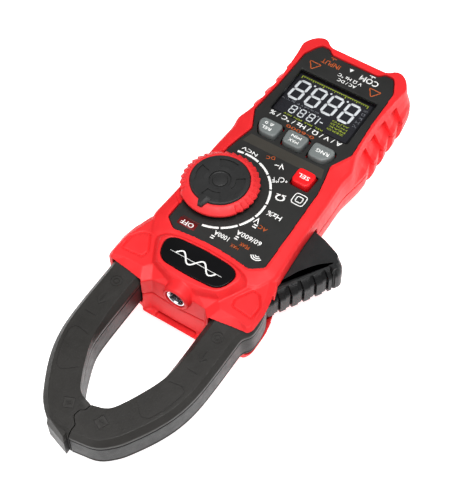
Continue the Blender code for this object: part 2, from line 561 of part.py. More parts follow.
def make_board():
    outline = ((-19.0, -39.6), (19.0, -39.6), (24.6, -35.0), (24.6, 72.0), (16.0, 75.0), (-2.6, 75.0),
               (-2.6, 36.0), (-24.6, 36.0), (-24.6, -35.0))
    board = prism("main_board", outline, BOARD_LOW, BOARD_TOP, "board_green")
    cut(board, *columns("board_notch", CASE_SCREWS[2:4], 3.9, 20.0, 30.0))
    disc("buzzer", (-14.0, 30.4, 20.4), 4.8, BOARD_LOW - 0.3 - 20.4, slot="face_grey", sides=20)
    prism("voltage_antenna", rectangle(1.0, 15.0, 70.6, 73.4), BOARD_TOP + 0.3, 29.6, "brass")


def make_batteries():
    profile = ((0, 0), (CELL_RADIUS, 0), (CELL_RADIUS, CELL_LENGTH - 1.0), (2.0, CELL_LENGTH - 1.0),
               (2.0, CELL_LENGTH), (0, CELL_LENGTH))
    for column in (-1, 0, 1):
        turned(f"battery_{column + 2}", profile, (column * CELL_PITCH, CELL_START, CELL_HEIGHT), "+Y",
               "cell_jacket", 18)
    plate = prism("spring_contact", rectangle(-16.6, 16.6, -30.6, -30.0), 3.4, 13.0, "steel")
    for column in (-1, 0, 1):
        add(plate, turned(f"cell_spring_{column + 2}", ((0, 0), (3.6, 0), (1.6, 6.4), (0, 6.4)),
                          (column * CELL_PITCH, -30.2, CELL_HEIGHT), "+Y", sides=12))
    prism("flat_contact", rectangle(-16.6, 16.6, 22.0, 22.6), 3.4, 13.0, "steel")


def make_sockets():
    sleeve = ((SOCKET_BORE, 0), (SOCKET_RADIUS, 0), (SOCKET_RADIUS, 18.0), (3.2, 18.0), (3.2, 8.6),
              (SOCKET_BORE, 8.6))
    for label, x in (("common", -SOCKET_X), ("input", SOCKET_X)):
        turned(f"{label}_socket", sleeve, (x, -52.7, SOCKET_HEIGHT), "+Y", "grip_black", 24)
        turned(f"{label}_contact", ((0, 8.6), (2.05, 8.6), (2.05, 0), (2.9, 0), (2.9, 10.0), (0, 10.0)),
               (x, -43.6, SOCKET_HEIGHT), "+Y", "brass", 18)


def make_torch():
    turned("torch_lens", ((0, 0), (4.6, 0), (4.6, 1.8), (3.2, 2.5), (0, 2.8)),
           (0, 100.8, TORCH_HEIGHT), "+Y", "window_clear", 24)
    turned("torch_led", ((0, 0), (2.7, 0), (2.7, 1.0), (2.4, 1.0), (2.4, 4.4), (1.4, 5.6), (0, 5.9)),
           (0, 93.6, TORCH_HEIGHT), "+Y", "plain_white", 16)


def make_case_screws():
    for i, spot in enumerate(CASE_SCREWS):
        turned(f"case_screw_{i + 1}", ((0, 0), (2.7, 0), (2.7, 1.6), (1.4, 1.7), (1.4, 20.5), (0, 20.5)),
               (*spot, 7.1), sides=14)


def main():
    for old in list(bpy.data.objects):
        bpy.data.objects.remove(old)
    for make in (make_front_shell, make_rear_shell, make_battery_door, make_face, make_keys, make_knob,
                 make_fixed_jaw, make_moving_jaw, make_pivot, make_board, make_batteries, make_sockets,
                 make_torch, make_case_screws):
        make()


main()
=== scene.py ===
"""Looks of the hand-held clamp meter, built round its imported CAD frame.

Plan positions are (x, station) in millimetres, as in the CAD: stations run along the meter toward the
jaws, and STATION is the origin's. Heights are millimetres above the flat back. Places that the CAD
settles are read from the boxes of its nodes.
"""
import math

import bmesh
import bpy
import numpy as np
from mathutils import Matrix, Vector


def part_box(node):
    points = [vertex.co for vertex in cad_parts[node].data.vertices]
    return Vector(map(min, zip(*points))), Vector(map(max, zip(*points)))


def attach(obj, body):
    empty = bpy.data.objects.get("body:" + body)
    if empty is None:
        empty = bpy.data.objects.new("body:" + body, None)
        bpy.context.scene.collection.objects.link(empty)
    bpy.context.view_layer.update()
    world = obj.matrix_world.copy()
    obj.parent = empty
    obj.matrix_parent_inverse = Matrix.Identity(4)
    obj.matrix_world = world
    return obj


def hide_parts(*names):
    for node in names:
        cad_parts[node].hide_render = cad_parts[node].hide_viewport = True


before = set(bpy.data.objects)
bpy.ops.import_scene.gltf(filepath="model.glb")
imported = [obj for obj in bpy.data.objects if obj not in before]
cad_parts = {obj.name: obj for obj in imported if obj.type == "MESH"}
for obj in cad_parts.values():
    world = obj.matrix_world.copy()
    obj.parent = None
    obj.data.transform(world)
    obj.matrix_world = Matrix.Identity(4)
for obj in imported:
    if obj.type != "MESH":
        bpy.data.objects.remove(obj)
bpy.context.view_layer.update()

MM = 0.001
STATION = 24.0


# ---------------------------------------------------------------- places

def at(x, station, height):
    return Vector((x, station - STATION, height)) * MM


def span(node, axis=2):
    """Lowest and highest coordinate of a CAD node along an axis, in millimetres."""
    low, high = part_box(node)
    return low[axis] / MM, high[axis] / MM


def middle(node):
    """A CAD node's centre in plan, as (x, station)."""
    low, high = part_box(node)
    centre = (low + high) / (2 * MM)
    return centre.x, centre.y + STATION


FACE = span("faceplate")[1]
SEAM = (span("rear_shell")[1] + span("front_shell")[0]) / 2
KNOB = middle("knob_rotor")
KNOB_LOW = span("knob_ring")[0]
PIVOT = middle("pivot_pin")
JAW_LOW = span("fixed_jaw_rear_cover")[0]
JAW_TOP = span("fixed_jaw_front_cover")[1]
BAND_LOW, BAND_TOP = span("fixed_jaw_band")
LEVER_LOW, LEVER_TOP = span("trigger_lever")
BADGE_TOP = span("badge_plate")[1]
LCD_TOP = span("lcd_panel")[1]
TORCH_AXIS = sum(span("torch_lens")) / 2 + 0.9
TORCH_START = 96.0                       # the station where the torch boss leaves the head
SOCKET_HEIGHT = sum(span("input_socket")) / 2
SOCKET_X = middle("input_socket")[0]
GAP = 0.3                                # between neighbouring pieces
DECK_LOW, DECK_TOP = 31.2, 33.0          # the deck under the faceplate
ABOVE = 44.0                             # a height over everything, where cutters end

# ---------------------------------------------------------------- outlines

def mirrored(half):
    """Closed outline, anticlockwise from above, from its half at x >= 0."""
    return list(half) + [(-x, s) for x, s in reversed(half) if x > 0]


def offset(outline, distance):
    """The anticlockwise outline moved outward, with mitred corners."""
    count, moved = len(outline), []
    for i, point in enumerate(outline):
        edges = (Vector(point) - Vector(outline[i - 1]), Vector(outline[(i + 1) % count]) - Vector(point))
        sides = [Vector((edge.y, -edge.x)).normalized() for edge in edges]
        mean = (sides[0] + sides[1]).normalized()
        moved.append(tuple(Vector(point) + mean * distance / max(0.5, mean.dot(sides[0]))))
    return moved


def rounded(outline, radius, steps=4, closed=True):
    """Each corner replaced by a short curve. radius is one number, or a list of one for each corner."""
    count, points = len(outline), []
    for i, point in enumerate(outline):
        if not closed and i in (0, count - 1):
            points.append(tuple(point))
            continue
        here, before, after = Vector(point), Vector(outline[i - 1]), Vector(outline[(i + 1) % count])
        back, ahead = before - here, after - here
        reach = radius[i] if isinstance(radius, (list, tuple)) else radius
        start = here + back.normalized() * min(reach, 0.47 * back.length)
        end = here + ahead.normalized() * min(reach, 0.47 * ahead.length)
        for k in range(steps + 1):
            u = k / steps
            points.append(tuple(start * (1 - u) ** 2 + here * 2 * u * (1 - u) + end * u ** 2))
    return points

def mixed(first, second, share):
    """The outline part of the way from one to another."""
    return [(a[0] + (b[0] - a[0]) * share, a[1] + (b[1] - a[1]) * share) for a, b in zip(first, second)]


def rectangle(x0, x1, s0, s1):
    return [(x0, s0), (x1, s0), (x1, s1), (x0, s1)]


def circle(centre, radius, sides=48):
    return [(centre[0] + radius * math.cos(math.tau * i / sides),
             centre[1] + radius * math.sin(math.tau * i / sides)) for i in range(sides)]


def arc_points(centre, radius, start, end, count=16):
    return [(centre[0] + radius * math.cos(math.radians(start + (end - start) * i / (count - 1))),
             centre[1] + radius * math.sin(math.radians(start + (end - start) * i / (count - 1))))
            for i in range(count)]


def smoothstep(low, high, value):
    u = np.clip((value - low) / (high - low), 0.0, 1.0)
    return u * u * (3 - 2 * u)

# ---------------------------------------------------------------- materials

def plug(node, inputs):
    """Gives each of a shader node's inputs its value, or links it to an output socket."""
    for label, value in inputs.items():
        if isinstance(value, bpy.types.NodeSocket):
            node.id_data.links.new(value, node.inputs[label])
        else:
            node.inputs[label].default_value = value


def wire(tree, kind, inputs, **settings):
    node = tree.nodes.new(kind)
    for label, value in settings.items():
        setattr(node, label, value)
    plug(node, inputs)
    return node


def material(name, base, roughness, metallic=0.0, **inputs):
    """A Principled material with its constant values on the shader's own sockets."""
    made = bpy.data.materials.new(name)
    made.use_nodes = True
    shader = made.node_tree.nodes["Principled BSDF"]
    plug(shader, {"Base Color": (*base, 1.0), "Roughness": roughness, "Metallic": metallic, **inputs})
    return made, made.node_tree, shader


def noise_of(tree, scale, detail=3.0, stretch=(1.0, 1.0, 1.0)):
    """A noise texture in the object's own space, with features of about 1/scale metres."""
    place = wire(tree, "ShaderNodeTexCoord", {}).outputs["Object"]
    stretched = wire(tree, "ShaderNodeMapping", {"Vector": place, "Scale": stretch}).outputs["Vector"]
    pattern = wire(tree, "ShaderNodeTexNoise", {"Vector": stretched, "Scale": scale, "Detail": detail})
    return pattern.outputs["Fac"]


def ranged(tree, value, low, high, start=0.3, end=0.7):
    """The value, which for noise runs from about 0.3 to 0.7, spread from low to high."""
    limits = {"From Min": start, "From Max": end, "To Min": low, "To Max": high}
    return wire(tree, "ShaderNodeMapRange", {"Value": value, **limits}).outputs["Result"]


def blended(tree, share, first, second):
    """A mix of two colours, each of which is a plain colour or a socket."""
    ends = {"A": first, "B": second}
    for label, colour in ends.items():
        if isinstance(colour, tuple):
            ends[label] = (*colour, 1.0)
    return wire(tree, "ShaderNodeMix", {"Factor": share, **ends}, data_type="RGBA").outputs["Result"]


def bumped(tree, height, strength, distance):
    inputs = {"Height": height, "Strength": strength, "Distance": distance}
    return wire(tree, "ShaderNodeBump", inputs).outputs["Normal"]


def moulded(name, colour, roughness, grain, wear, variation=0.08, grain_scale=2200.0, **inputs):
    """Moulded plastic: a fine grain, cloudy shade and gloss, and paler worn edges."""
    made, tree, shader = material(name, colour, roughness, **inputs)
    darker = tuple(c * (1 - variation) for c in colour)
    lighter = tuple(min(1.0, c * (1 + variation) + 0.004) for c in colour)
    scuffed = tuple(min(1.0, c * 1.6 + 0.02) for c in colour)
    shade = blended(tree, ranged(tree, noise_of(tree, 45.0), 0.0, 1.0), darker, lighter)
    pointed = wire(tree, "ShaderNodeNewGeometry", {}).outputs["Pointiness"]
    edges = ranged(tree, pointed, 0.0, wear, 0.53, 0.66)
    gloss = ranged(tree, noise_of(tree, 300.0), roughness - 0.06, roughness + 0.06)
    plug(shader, {"Base Color": blended(tree, edges, shade, scuffed), "Roughness": gloss,
                  "Normal": bumped(tree, noise_of(tree, grain_scale, 2.0), grain, 0.0002)})
    return made


def metal(name, colour, roughness, stretch=(1.0, 1.0, 1.0)):
    """Turned or drawn metal: fine brushing in the roughness and a faint bump."""
    made, tree, shader = material(name, colour, roughness, 1.0)
    brushed = noise_of(tree, 900.0, 4.0, stretch)
    darker = tuple(c * 0.82 for c in colour)
    plug(shader, {"Roughness": ranged(tree, brushed, roughness - 0.08, roughness + 0.12),
                  "Base Color": blended(tree, ranged(tree, noise_of(tree, 120.0), 0.0, 1.0), darker, colour),
                  "Normal": bumped(tree, brushed, 0.1, 0.0001)})
    return made


def clear_sheet():
    """A clear acrylic sheet: see-through, with a faint uneven gloss."""
    made, tree, gloss = material("clear_window", (0.02, 0.02, 0.025), 0.06)
    plug(gloss, {"Roughness": ranged(tree, noise_of(tree, 60.0), 0.08, 0.2)})
    clear = wire(tree, "ShaderNodeBsdfTransparent", {"Color": (0.94, 0.95, 0.96, 1.0)})
    share = ranged(tree, noise_of(tree, 25.0), 0.1, 0.16)
    inputs = {"Fac": share, 1: clear.outputs["BSDF"], 2: gloss.outputs["BSDF"]}
    blend = wire(tree, "ShaderNodeMixShader", inputs)
    plug(tree.nodes["Material Output"], {"Surface": blend.outputs["Shader"]})
    return made


def lit(colour, strength):
    return {"Emission Color": (*colour, 1.0), "Emission Strength": strength}


DULL = {"Specular IOR Level": 0.3}
COARSE = {"grain_scale": 1700.0}
WHITE_LIGHT = (1.0, 1.0, 1.0)
# Of each moulded finish: its name, colour, roughness, grain, wear, and what else it has.
MOULDED = {
    "red": ("red_case_plastic", (0.84, 0.036, 0.041), 0.42, 0.16, 0.3, {"Specular IOR Level": 0.32}),
    "red_rubber": ("red_soft_grip", (0.84, 0.04, 0.045), 0.5, 0.3, 0.3, {}),
    "face": ("charcoal_face_film", (0.034, 0.034, 0.033), 0.45, 0.1, 0.1, DULL),
    "face_band": ("warm_grey_print", (0.066, 0.061, 0.052), 0.45, 0.1, 0.0, DULL),
    "jaw": ("black_jaw_plastic", (0.042, 0.04, 0.0375), 0.38, 0.45, 0.5, {**COARSE, **DULL}),
    "band": ("black_band_plastic", (0.024, 0.0235, 0.0235), 0.4, 0.4, 0.5, {**COARSE, **DULL}),
    "grip": ("black_grip_rubber", (0.01, 0.01, 0.0105), 0.28, 0.3, 0.6, DULL),
    "lever": ("black_lever_plastic", (0.026, 0.027, 0.0275), 0.38, 0.3, 0.4, DULL),
    "cap": ("black_knob_plastic", (0.038, 0.038, 0.038), 0.38, 0.3, 0.6, DULL),
    "badge": ("gloss_black_badge", (0.008, 0.008, 0.009), 0.14, 0.02, 0.1, DULL),
    "key": ("grey_key_rubber", (0.205, 0.225, 0.222), 0.45, 0.25, 0.3, {}),
    "key_red": ("red_key_rubber", (0.95, 0.014, 0.02), 0.36, 0.15, 0.3, {}),
    "lcd": ("lcd_background", (0.05, 0.047, 0.054), 0.6, 0.02, 0.0, {}),
    "lcd_frame": ("lcd_mask", (0.012, 0.012, 0.013), 0.35, 0.1, 0.0, {}),
    # The white print has a faint glow: painted light that makes the ink brighter than the lamps alone do.
    "white": ("white_print_painted_glow", (0.86, 0.87, 0.85), 0.5, 0.1, 0.0,
              {"variation": 0.03, **lit(WHITE_LIGHT, 0.12)}),
    "orange": ("orange_print", (0.52, 0.12, 0.03), 0.5, 0.1, 0.0, {"variation": 0.06}),
    "off_red": ("dark_red_print", (0.2, 0.016, 0.018), 0.5, 0.1, 0.0, {}),
    "segment": ("lcd_segment_white", (0.83, 0.84, 0.84), 0.5, 0.02, 0.0,
                {"variation": 0.02, **lit(WHITE_LIGHT, 0.5)}),
    "lime": ("lcd_segment_lime", (0.46, 0.52, 0.06), 0.5, 0.02, 0.0,
             {"variation": 0.04, **lit((0.5, 0.6, 0.06), 0.35)}),
    "grey_print": ("grey_print", (0.42, 0.42, 0.44), 0.5, 0.02, 0.0, {}),
    "board": ("green_solder_mask", (0.02, 0.17, 0.07), 0.35, 0.3, 0.1, {}),
    "cream": ("natural_nylon", (0.72, 0.71, 0.66), 0.5, 0.15, 0.1, {}),
    "cell": ("battery_jacket", (0.07, 0.1, 0.26), 0.32, 0.05, 0.2, {})}
# Of each metal: its name, colour, roughness and how its brushing is stretched.
METALS = {
    "steel": ("zinc_plated_steel", (0.62, 0.63, 0.65), 0.3, (1.0, 1.0, 6.0)),
    "core": ("laminated_core_steel", (0.3, 0.3, 0.33), 0.42, (1.0, 1.0, 12.0)),
    "brass": ("nickel_brass", (0.78, 0.57, 0.25), 0.28, (1.0, 4.0, 1.0)),
    "chrome": ("bright_lens_ring", (0.75, 0.76, 0.78), 0.18)}


def make_materials():
    made = {key: moulded(*plain, **others) for key, (*plain, others) in MOULDED.items()}
    made.update({key: metal(*values) for key, values in METALS.items()})
    made["glass"] = clear_sheet()
    return made


# ---------------------------------------------------------------- meshes

def linked(name, data):
    """A new object in the scene round a mesh, text, lamp or camera."""
    made = bpy.data.objects.new(name, data)
    bpy.context.scene.collection.objects.link(made)
    return made


def mesh_of(name, bm):
    mesh = bpy.data.meshes.new(name)
    bm.to_mesh(mesh)
    bm.free()
    return mesh


def final_mesh(piece):
    """A new mesh of an object as its modifiers leave it, or of a text's letters."""
    graph = bpy.context.evaluated_depsgraph_get()
    return bpy.data.meshes.new_from_object(piece.evaluated_get(graph))


def to_object(name, bm):
    bmesh.ops.recalc_face_normals(bm, faces=bm.faces)
    return linked(name, mesh_of(name, bm))


def from_rows(name, rows):
    """A solid through rings of points of equal count."""
    bm = bmesh.new()
    rings = [[bm.verts.new(point) for point in row] for row in rows]
    for low, high in zip(rings, rings[1:]):
        for i in range(len(low)):
            j = (i + 1) % len(low)
            bm.faces.new((low[i], low[j], high[j], high[i]))
    bm.faces.new(list(reversed(rings[0])))
    bm.faces.new(rings[-1])
    return to_object(name, bm)


def loft(name, levels):
    """A solid through (outline, height) levels of equal point count, from low to high."""
    return from_rows(name, [[at(x, s, height) for x, s in outline] for outline, height in levels])


def prism(name, outline, low, high):
    return loft(name, [(outline, low), (outline, high)])


def crowned(name, outline, low, high, edge, steps=4, foot=0.0):
    """A prism whose top edge is rounded by edge, and whose foot edge is rounded by foot."""
    levels = []
    if foot:
        for k in range(steps):
            turn = math.pi / 2 * k / steps
            levels.append((offset(outline, -foot * (1 - math.sin(turn))), low + foot * (1 - math.cos(turn))))
        levels.append((outline, low + foot))
    else:
        levels.append((outline, low))
    for k in range(steps + 1):
        turn = math.pi / 2 * k / steps
        levels.append((offset(outline, -edge * (1 - math.cos(turn))), high - edge + edge * math.sin(turn)))
    return loft(name, levels)


def side_prism(name, outline, x0, x1):
    """A prism along X from an outline of (station, height) points."""
    return from_rows(name, [[at(x, s, height) for s, height in outline] for x in (x0, x1)])


def turned(name, profile, place, axis="+Z", sides=40):
    """A solid of revolution from (radius, distance) points. A profile that starts off the axis is a ring."""
    turn = Matrix.Identity(3) if axis == "+Z" else Matrix.Rotation(-math.pi / 2, 3, "X")
    bm = bmesh.new()
    rings = []
    for radius, distance in profile:
        angles = [math.tau * i / sides for i in range(sides if radius > 0 else 1)]
        outs = [Vector((radius * math.cos(a), radius * math.sin(a), distance)) * MM for a in angles]
        rings.append([bm.verts.new(at(*place) + turn @ out) for out in outs])
    pairs = list(zip(rings, rings[1:]))
    if profile[0][0] > 0:
        pairs.append((rings[-1], rings[0]))
    for first, second in pairs:
        for i in range(sides):
            j = (i + 1) % sides
            corners = (first[i % len(first)], first[j % len(first)],
                       second[j % len(second)], second[i % len(second)])
            bm.faces.new(list(dict.fromkeys(corners)))
    return to_object(name, bm)


def bake(piece):
    """Applies the piece's modifiers to its mesh."""
    mesh = final_mesh(piece)
    piece.modifiers.clear()
    piece.data = mesh


def combined(piece, others, operation):
    """The piece cut by or joined with the other solids, which are used up."""
    for other in others:
        step = piece.modifiers.new(other.name, "BOOLEAN")
        step.operation = operation
        step.solver = "EXACT"
        step.object = other
    bake(piece)
    for other in others:
        bpy.data.objects.remove(other)


def cut(piece, *cutters):
    combined(piece, cutters, "DIFFERENCE")


def joined(piece, *others):
    combined(piece, others, "UNION")


def melted(piece, voxel):
    """Remeshes a solid so that its edges and inner corners get small fillets, as a moulding has."""
    skin = piece.modifiers.new("skin", "REMESH")
    skin.mode = "VOXEL"
    skin.voxel_size = voxel * MM
    ease = piece.modifiers.new("ease", "SMOOTH")
    ease.factor = 0.5
    ease.iterations = 2
    bake(piece)


def thinned(piece, share):
    """Keeps a share of the faces, where the shape needs them most."""
    thin = piece.modifiers.new("thin", "DECIMATE")
    thin.ratio = share
    bake(piece)


def sculpt(piece, rule):
    """Moves the vertices: rule takes plan x, station and height arrays and returns them moved."""
    mesh = piece.data
    flat = np.empty(len(mesh.vertices) * 3)
    mesh.vertices.foreach_get("co", flat)
    points = flat.reshape(-1, 3) / MM
    x, s, z = rule(points[:, 0].copy(), points[:, 1] + STATION, points[:, 2].copy())
    points = np.stack((x, s - STATION, z), axis=1) * MM
    mesh.vertices.foreach_set("co", points.reshape(-1))
    mesh.update()


def settle(piece, finish, body, stands_for=(), angle=35.0):
    """Gives a finished piece its shading, material and body, and hides the CAD nodes it stands for."""
    piece.data.materials.clear()
    piece.data.materials.append(finish)
    piece.data.shade_smooth()
    if angle:
        piece.data.set_sharp_from_angle(angle=math.radians(angle))
        weigh = piece.modifiers.new("weigh", "WEIGHTED_NORMAL")
        weigh.keep_sharp = True
    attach(piece, body)
    if stands_for:
        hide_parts(*stands_for)


def merged(name, pieces):
    """One mesh object from several, which are used up."""
    bm = bmesh.new()
    for piece in pieces:
        bm.from_mesh(piece.data)
        bpy.data.objects.remove(piece)
    return linked(name, mesh_of(name, bm))


def settle_marks(name, marks, finish, body="case"):
    """Printed marks as one smooth-shaded piece."""
    settle(merged(name, marks), finish, body, angle=0)


def lettering(text, x, station, height, size, thickness=0.06, turn=0.0, width=None):
    """Raised print centred on a plan point, with capitals of the given size, and optionally a set width."""
    curve = bpy.data.curves.new("lettering", "FONT")
    curve.body = text
    curve.align_x = "CENTER"
    curve.align_y = "CENTER"
    curve.size = 1.0
    curve.offset = 0.018
    curve.resolution_u = 2
    piece = linked("lettering", curve)
    bm = bmesh.new()
    bm.from_mesh(final_mesh(piece))
    bpy.data.objects.remove(piece)
    xs = [v.co.x for v in bm.verts]
    ys = [v.co.y for v in bm.verts]
    tall = size / max(1e-6, max(ys) - min(ys)) * MM
    wide = tall if width is None else width / max(1e-6, max(xs) - min(xs)) * MM
    centre = Vector(((max(xs) + min(xs)) / 2, (max(ys) + min(ys)) / 2, 0))
    for vert in bm.verts:
        local = vert.co - centre
        vert.co = Vector((local.x * wide, local.y * tall, 0))
    raised = bmesh.ops.extrude_face_region(bm, geom=bm.faces[:])
    up = [v for v in raised["geom"] if isinstance(v, bmesh.types.BMVert)]
    bmesh.ops.translate(bm, verts=up, vec=(0, 0, thickness * MM))
    place = Matrix.Translation(at(x, station, height)) @ Matrix.Rotation(math.radians(turn), 4, "Z")
    bmesh.ops.transform(bm, matrix=place, verts=bm.verts)
    return to_object("lettering", bm)


def ribbon(points, width, height, thickness=0.06, closed=False):
    """A raised line of constant width along plan points."""
    bm = bmesh.new()
    count = len(points)
    rows = []
    for i, point in enumerate(points):
        before = Vector(points[i - 1] if closed or i else point)
        after = Vector(points[(i + 1) % count] if closed or i < count - 1 else point)
        along = (after - before).normalized()
        side = Vector((-along.y, along.x)) * width / 2
        left, right = Vector(point) + side, Vector(point) - side
        rows.append([bm.verts.new(at(p.x, p.y, z)) for p, z in
                     ((left, height), (right, height),
                       (right, height + thickness), (left, height + thickness))])
    turns = list(zip(rows, rows[1:])) + ([(rows[-1], rows[0])] if closed else [])
    for first, second in turns:
        for i in range(4):
            j = (i + 1) % 4
            bm.faces.new((first[i], first[j], second[j], second[i]))
    if not closed:
        bm.faces.new(rows[0])
        bm.faces.new(rows[-1])
    return to_object("ribbon", bm)

# ---------------------------------------------------------------- the red case

# Half outlines at x >= 0: each row is the wall at the seam and the rim at the top, in plan.
BODY_ROWS = (
    ((0.0, -53.4), (0.0, -52.9)), ((12.7, -53.4), (12.7, -52.9)), ((16.0, -54.0), (15.7, -53.1)),
    ((18.9, -57.0), (18.8, -56.2)), ((22.6, -57.4), (21.9, -56.4)), ((27.8, -54.6), (25.6, -53.8)),
    ((31.2, -50.0), (28.6, -48.8)), ((32.5, -41.0), (27.6, -42.3)), ((32.7, -28.0), (26.2, -26.0)),
    ((33.5, -12.0), (26.6, -12.0)), ((33.3, -1.0), (27.6, -1.0)), ((32.2, 6.0), (24.8, 5.6)),
    ((31.1, 12.5), (22.3, 10.4)), ((31.1, 18.0), (24.2, 18.0)), ((31.4, 26.0), (25.7, 26.0)),
    ((31.7, 50.0), (26.3, 50.0)), ((32.8, 66.0), (26.8, 66.0)), ((33.4, 73.0), (26.7, 72.6)),
    ((30.0, 84.0), (20.5, 77.4)), ((12.0, 88.0), (10.2, 76.2)), ((0.0, 88.0), (0.0, 75.6)))
# Share of the way from wall to rim at each height: beside the display, and beside the dial.
BODY_PROFILE = (
    (22.65, 0.0, 0.0), (24.5, 0.05, 0.005), (27.0, 0.42, 0.02), (31.0, 0.76, 0.07), (33.6, 0.91, 0.16),
    (34.7, 0.96, 0.32), (35.2, 0.985, 0.62), (35.7, 1.0, 1.0))
FACE_HALF = (
    (12.8, -49.0), (15.4, -51.6), (19.6, -51.6), (21.4, -49.0), (24.2, -43.0), (24.6, -20.0),
    (25.9, -1.0), (20.8, 9.3), (22.7, 18.0), (24.0, 25.0), (24.7, 50.0), (25.1, 71.6),
    (19.7, 75.6), (10.0, 74.4), (0.0, 73.8))
HEAD_SEAM = (
    (0.0, 70.0), (31.0, 70.0), (33.4, 74.0), (36.4, 82.5), (37.6, 89.0), (37.7, 99.6), (36.4, 102.3),
    (27.6, 103.4), (17.0, 104.9), (13.6, 101.9), (0.0, 102.6))
HEAD_BROW = (
    (0.0, 70.0), (30.6, 70.0), (32.9, 74.2), (35.8, 82.7), (37.0, 89.1), (37.1, 99.2), (35.8, 101.8),
    (27.0, 102.9), (17.0, 104.5), (14.0, 101.5), (0.0, 102.0))
HEAD_TOP = (
    (0.0, 70.0), (28.0, 70.0), (30.2, 75.0), (33.2, 83.2), (35.2, 89.8), (35.8, 98.9), (34.8, 100.4),
    (28.2, 98.8), (19.8, 98.7), (17.3, 94.9), (0.0, 95.2))
HUMP_BASE = (
    (0.0, 75.6), (13.0, 76.2), (21.4, 78.2), (24.8, 82.6), (20.6, 90.4), (17.8, 95.4), (16.6, 101.0),
    (0.0, 102.3))
HUMP_TOP = (
    (0.0, 77.8), (12.6, 78.5), (18.9, 80.3), (21.4, 83.4), (18.4, 90.6), (15.9, 94.2), (12.6, 97.0),
    (0.0, 98.0))
# The mouth between the jaws: by height, its wall in the middle, and the near and far edge of its side faces.
MOUTH_FRONT = (
    (21.0, 102.8, (13.2, 102.6), (17.0, 105.0)), (22.5, 102.6, (13.6, 101.9), (17.0, 104.9)),
    (32.0, 100.5, (13.8, 101.2), (17.0, 104.5)), (34.2, 99.6, (16.9, 95.4), (20.0, 98.7)),
    (36.5, 98.6, (17.4, 94.4), (21.4, 96.6)), (37.6, 97.7, (17.8, 93.6), (22.4, 95.6)),
    (39.5, 95.6, (18.4, 92.0), (24.0, 94.0)))
MOUTH_REAR = (
    (12.2, 103.9, (13.9, 103.6), (16.8, 106.2)), (22.5, 102.6, (13.6, 101.9), (17.0, 104.9)),
    (24.0, 102.4, (13.6, 101.6), (17.0, 104.8)))
BADGE_HALF = (
    (0.0, 79.4), (13.4, 80.1), (17.0, 81.8), (18.2, 84.5), (16.5, 90.5), (13.0, 93.3), (0.0, 93.9))
CAVITY_ROWS = (((0.0, -50.6), (0.0, -50.0)), ((28.0, -50.6), (22.0, -50.0))) + BODY_ROWS[7:18] + (
    ((31.0, 82.0), (24.0, 82.0)), ((0.0, 82.0), (0.0, 82.0)))
HEAD_CAVITY = (
    (0.0, 74.0), (29.0, 74.0), (33.8, 83.0), (35.0, 90.0), (35.0, 99.0), (19.5, 99.0), (19.0, 91.5),
    (14.5, 91.5), (10.0, 95.0), (0.0, 96.0))
# Profiles as (radius, distance), and side views of the head's rear as (station, height).
TORCH_BOSS = ((0, 0), (6.7, 0), (6.7, 6.6), (6.5, 7.3), (6.0, 7.8), (5.3, 8.0), (0, 8.0))
TORCH_BORE = ((0, 0), (3.2, 0), (3.2, 7.5), (4.9, 7.5), (4.9, 14), (0, 14))
PIVOT_BOSS = ((0, 0), (6.4, 0), (6.4, 15.0), (0, 15.0))
SCREW_BOSS = ((0, 0), (3.5, 0), (3.5, 22.0), (0, 22.0))
SOCKET_BORE = ((0, 0), (6.5, 0), (6.5, 20.0), (0, 20.0))
LIP = ((98.0, 8.0), (105.6, 9.5), (106.3, 10.2), (106.4, 11.4), (104.9, 22.2), (98.0, 22.2))
LIP_SHADOW = ((100.6, 11.0), (108.0, 11.0), (108.0, 12.3), (100.6, 12.3))
HEAD_SLOPE = ((77.0, -3.8), (84.0, 0.0), (103.4, 10.4), (112.0, 10.4), (112.0, -3.8))
HEAD_FLOOR = ((83.0, -2.0), (83.0, 2.6), (101.0, 12.6), (120.0, 12.6), (120.0, -2.0))
# Share of its width that the rear loses at each height above the flat back.
REAR_TAPER = ((0.0, 0.36), (0.8, 0.31), (3.0, 0.22), (5.5, 0.15), (8.0, 0.1), (11.0, 0.05), (14.0, 0.02),
              (17.0, 0.003))
# Each finger rib's cliff, how far the ramp behind it runs, and how deep the ribs are at each height.
RIB_CLIFFS = (-39.7, -30.0, -20.4, -11.1)
RIB_RAMP = 7.0
RIB_HEIGHTS = (0.0, 6.0, 12.0, 24.0, 30.4, 31.2, 32.0)
RIB_DEPTHS = (0.0, 0.6, 1.7, 2.0, 2.2, 1.4, 0.0)
PAD = ((33.9, 88.8), (30.5, 83.8), (27.0, 83.1), (22.6, 90.9), (23.4, 94.6), (33.6, 95.6))


def body_levels(rows, ceiling=36.0, inset=0.0, sag=0.0):
    """Outlines of the handle's upper half up to a height. inset narrows them, sag more so on the slopes."""
    levels = []
    for height, beside_display, beside_dial in BODY_PROFILE:
        if height > ceiling:
            break
        half = []
        for (wall_x, wall_s), (rim_x, rim_s) in rows:
            dial = float(smoothstep(-3.0, 7.0, wall_s))
            share = beside_display + (beside_dial - beside_display) * dial
            if height > 25.0:
                share = share + sag * (1 - dial)
            x = wall_x + (rim_x - wall_x) * share
            half.append((x - inset if x > 0 else 0.0, wall_s + (rim_s - wall_s) * share))
        levels.append((rounded(mirrored(half), 2.2, 3), height))
    return levels


def mechanism_space(name, low, high):
    """What the case leaves free for the lever, the hub and both jaw roots."""
    jaw_low, jaw_top = max(low, JAW_LOW - GAP), min(high, JAW_TOP + GAP)
    return [
        prism(f"{name}_lever", rectangle(-60.0, -26.0, 37.6, 82.0), max(low, LEVER_LOW - GAP),
              min(high, LEVER_TOP + GAP)),
        prism(f"{name}_hub", rectangle(-60.0, -17.5, 80.0, 120.0), jaw_low, jaw_top),
        prism(f"{name}_root", rectangle(17.5, 35.2, 79.0, 120.0), jaw_low, jaw_top),
        prism(f"{name}_mouth", rectangle(17.5, 60.0, 101.0, 120.0), jaw_low, jaw_top)]


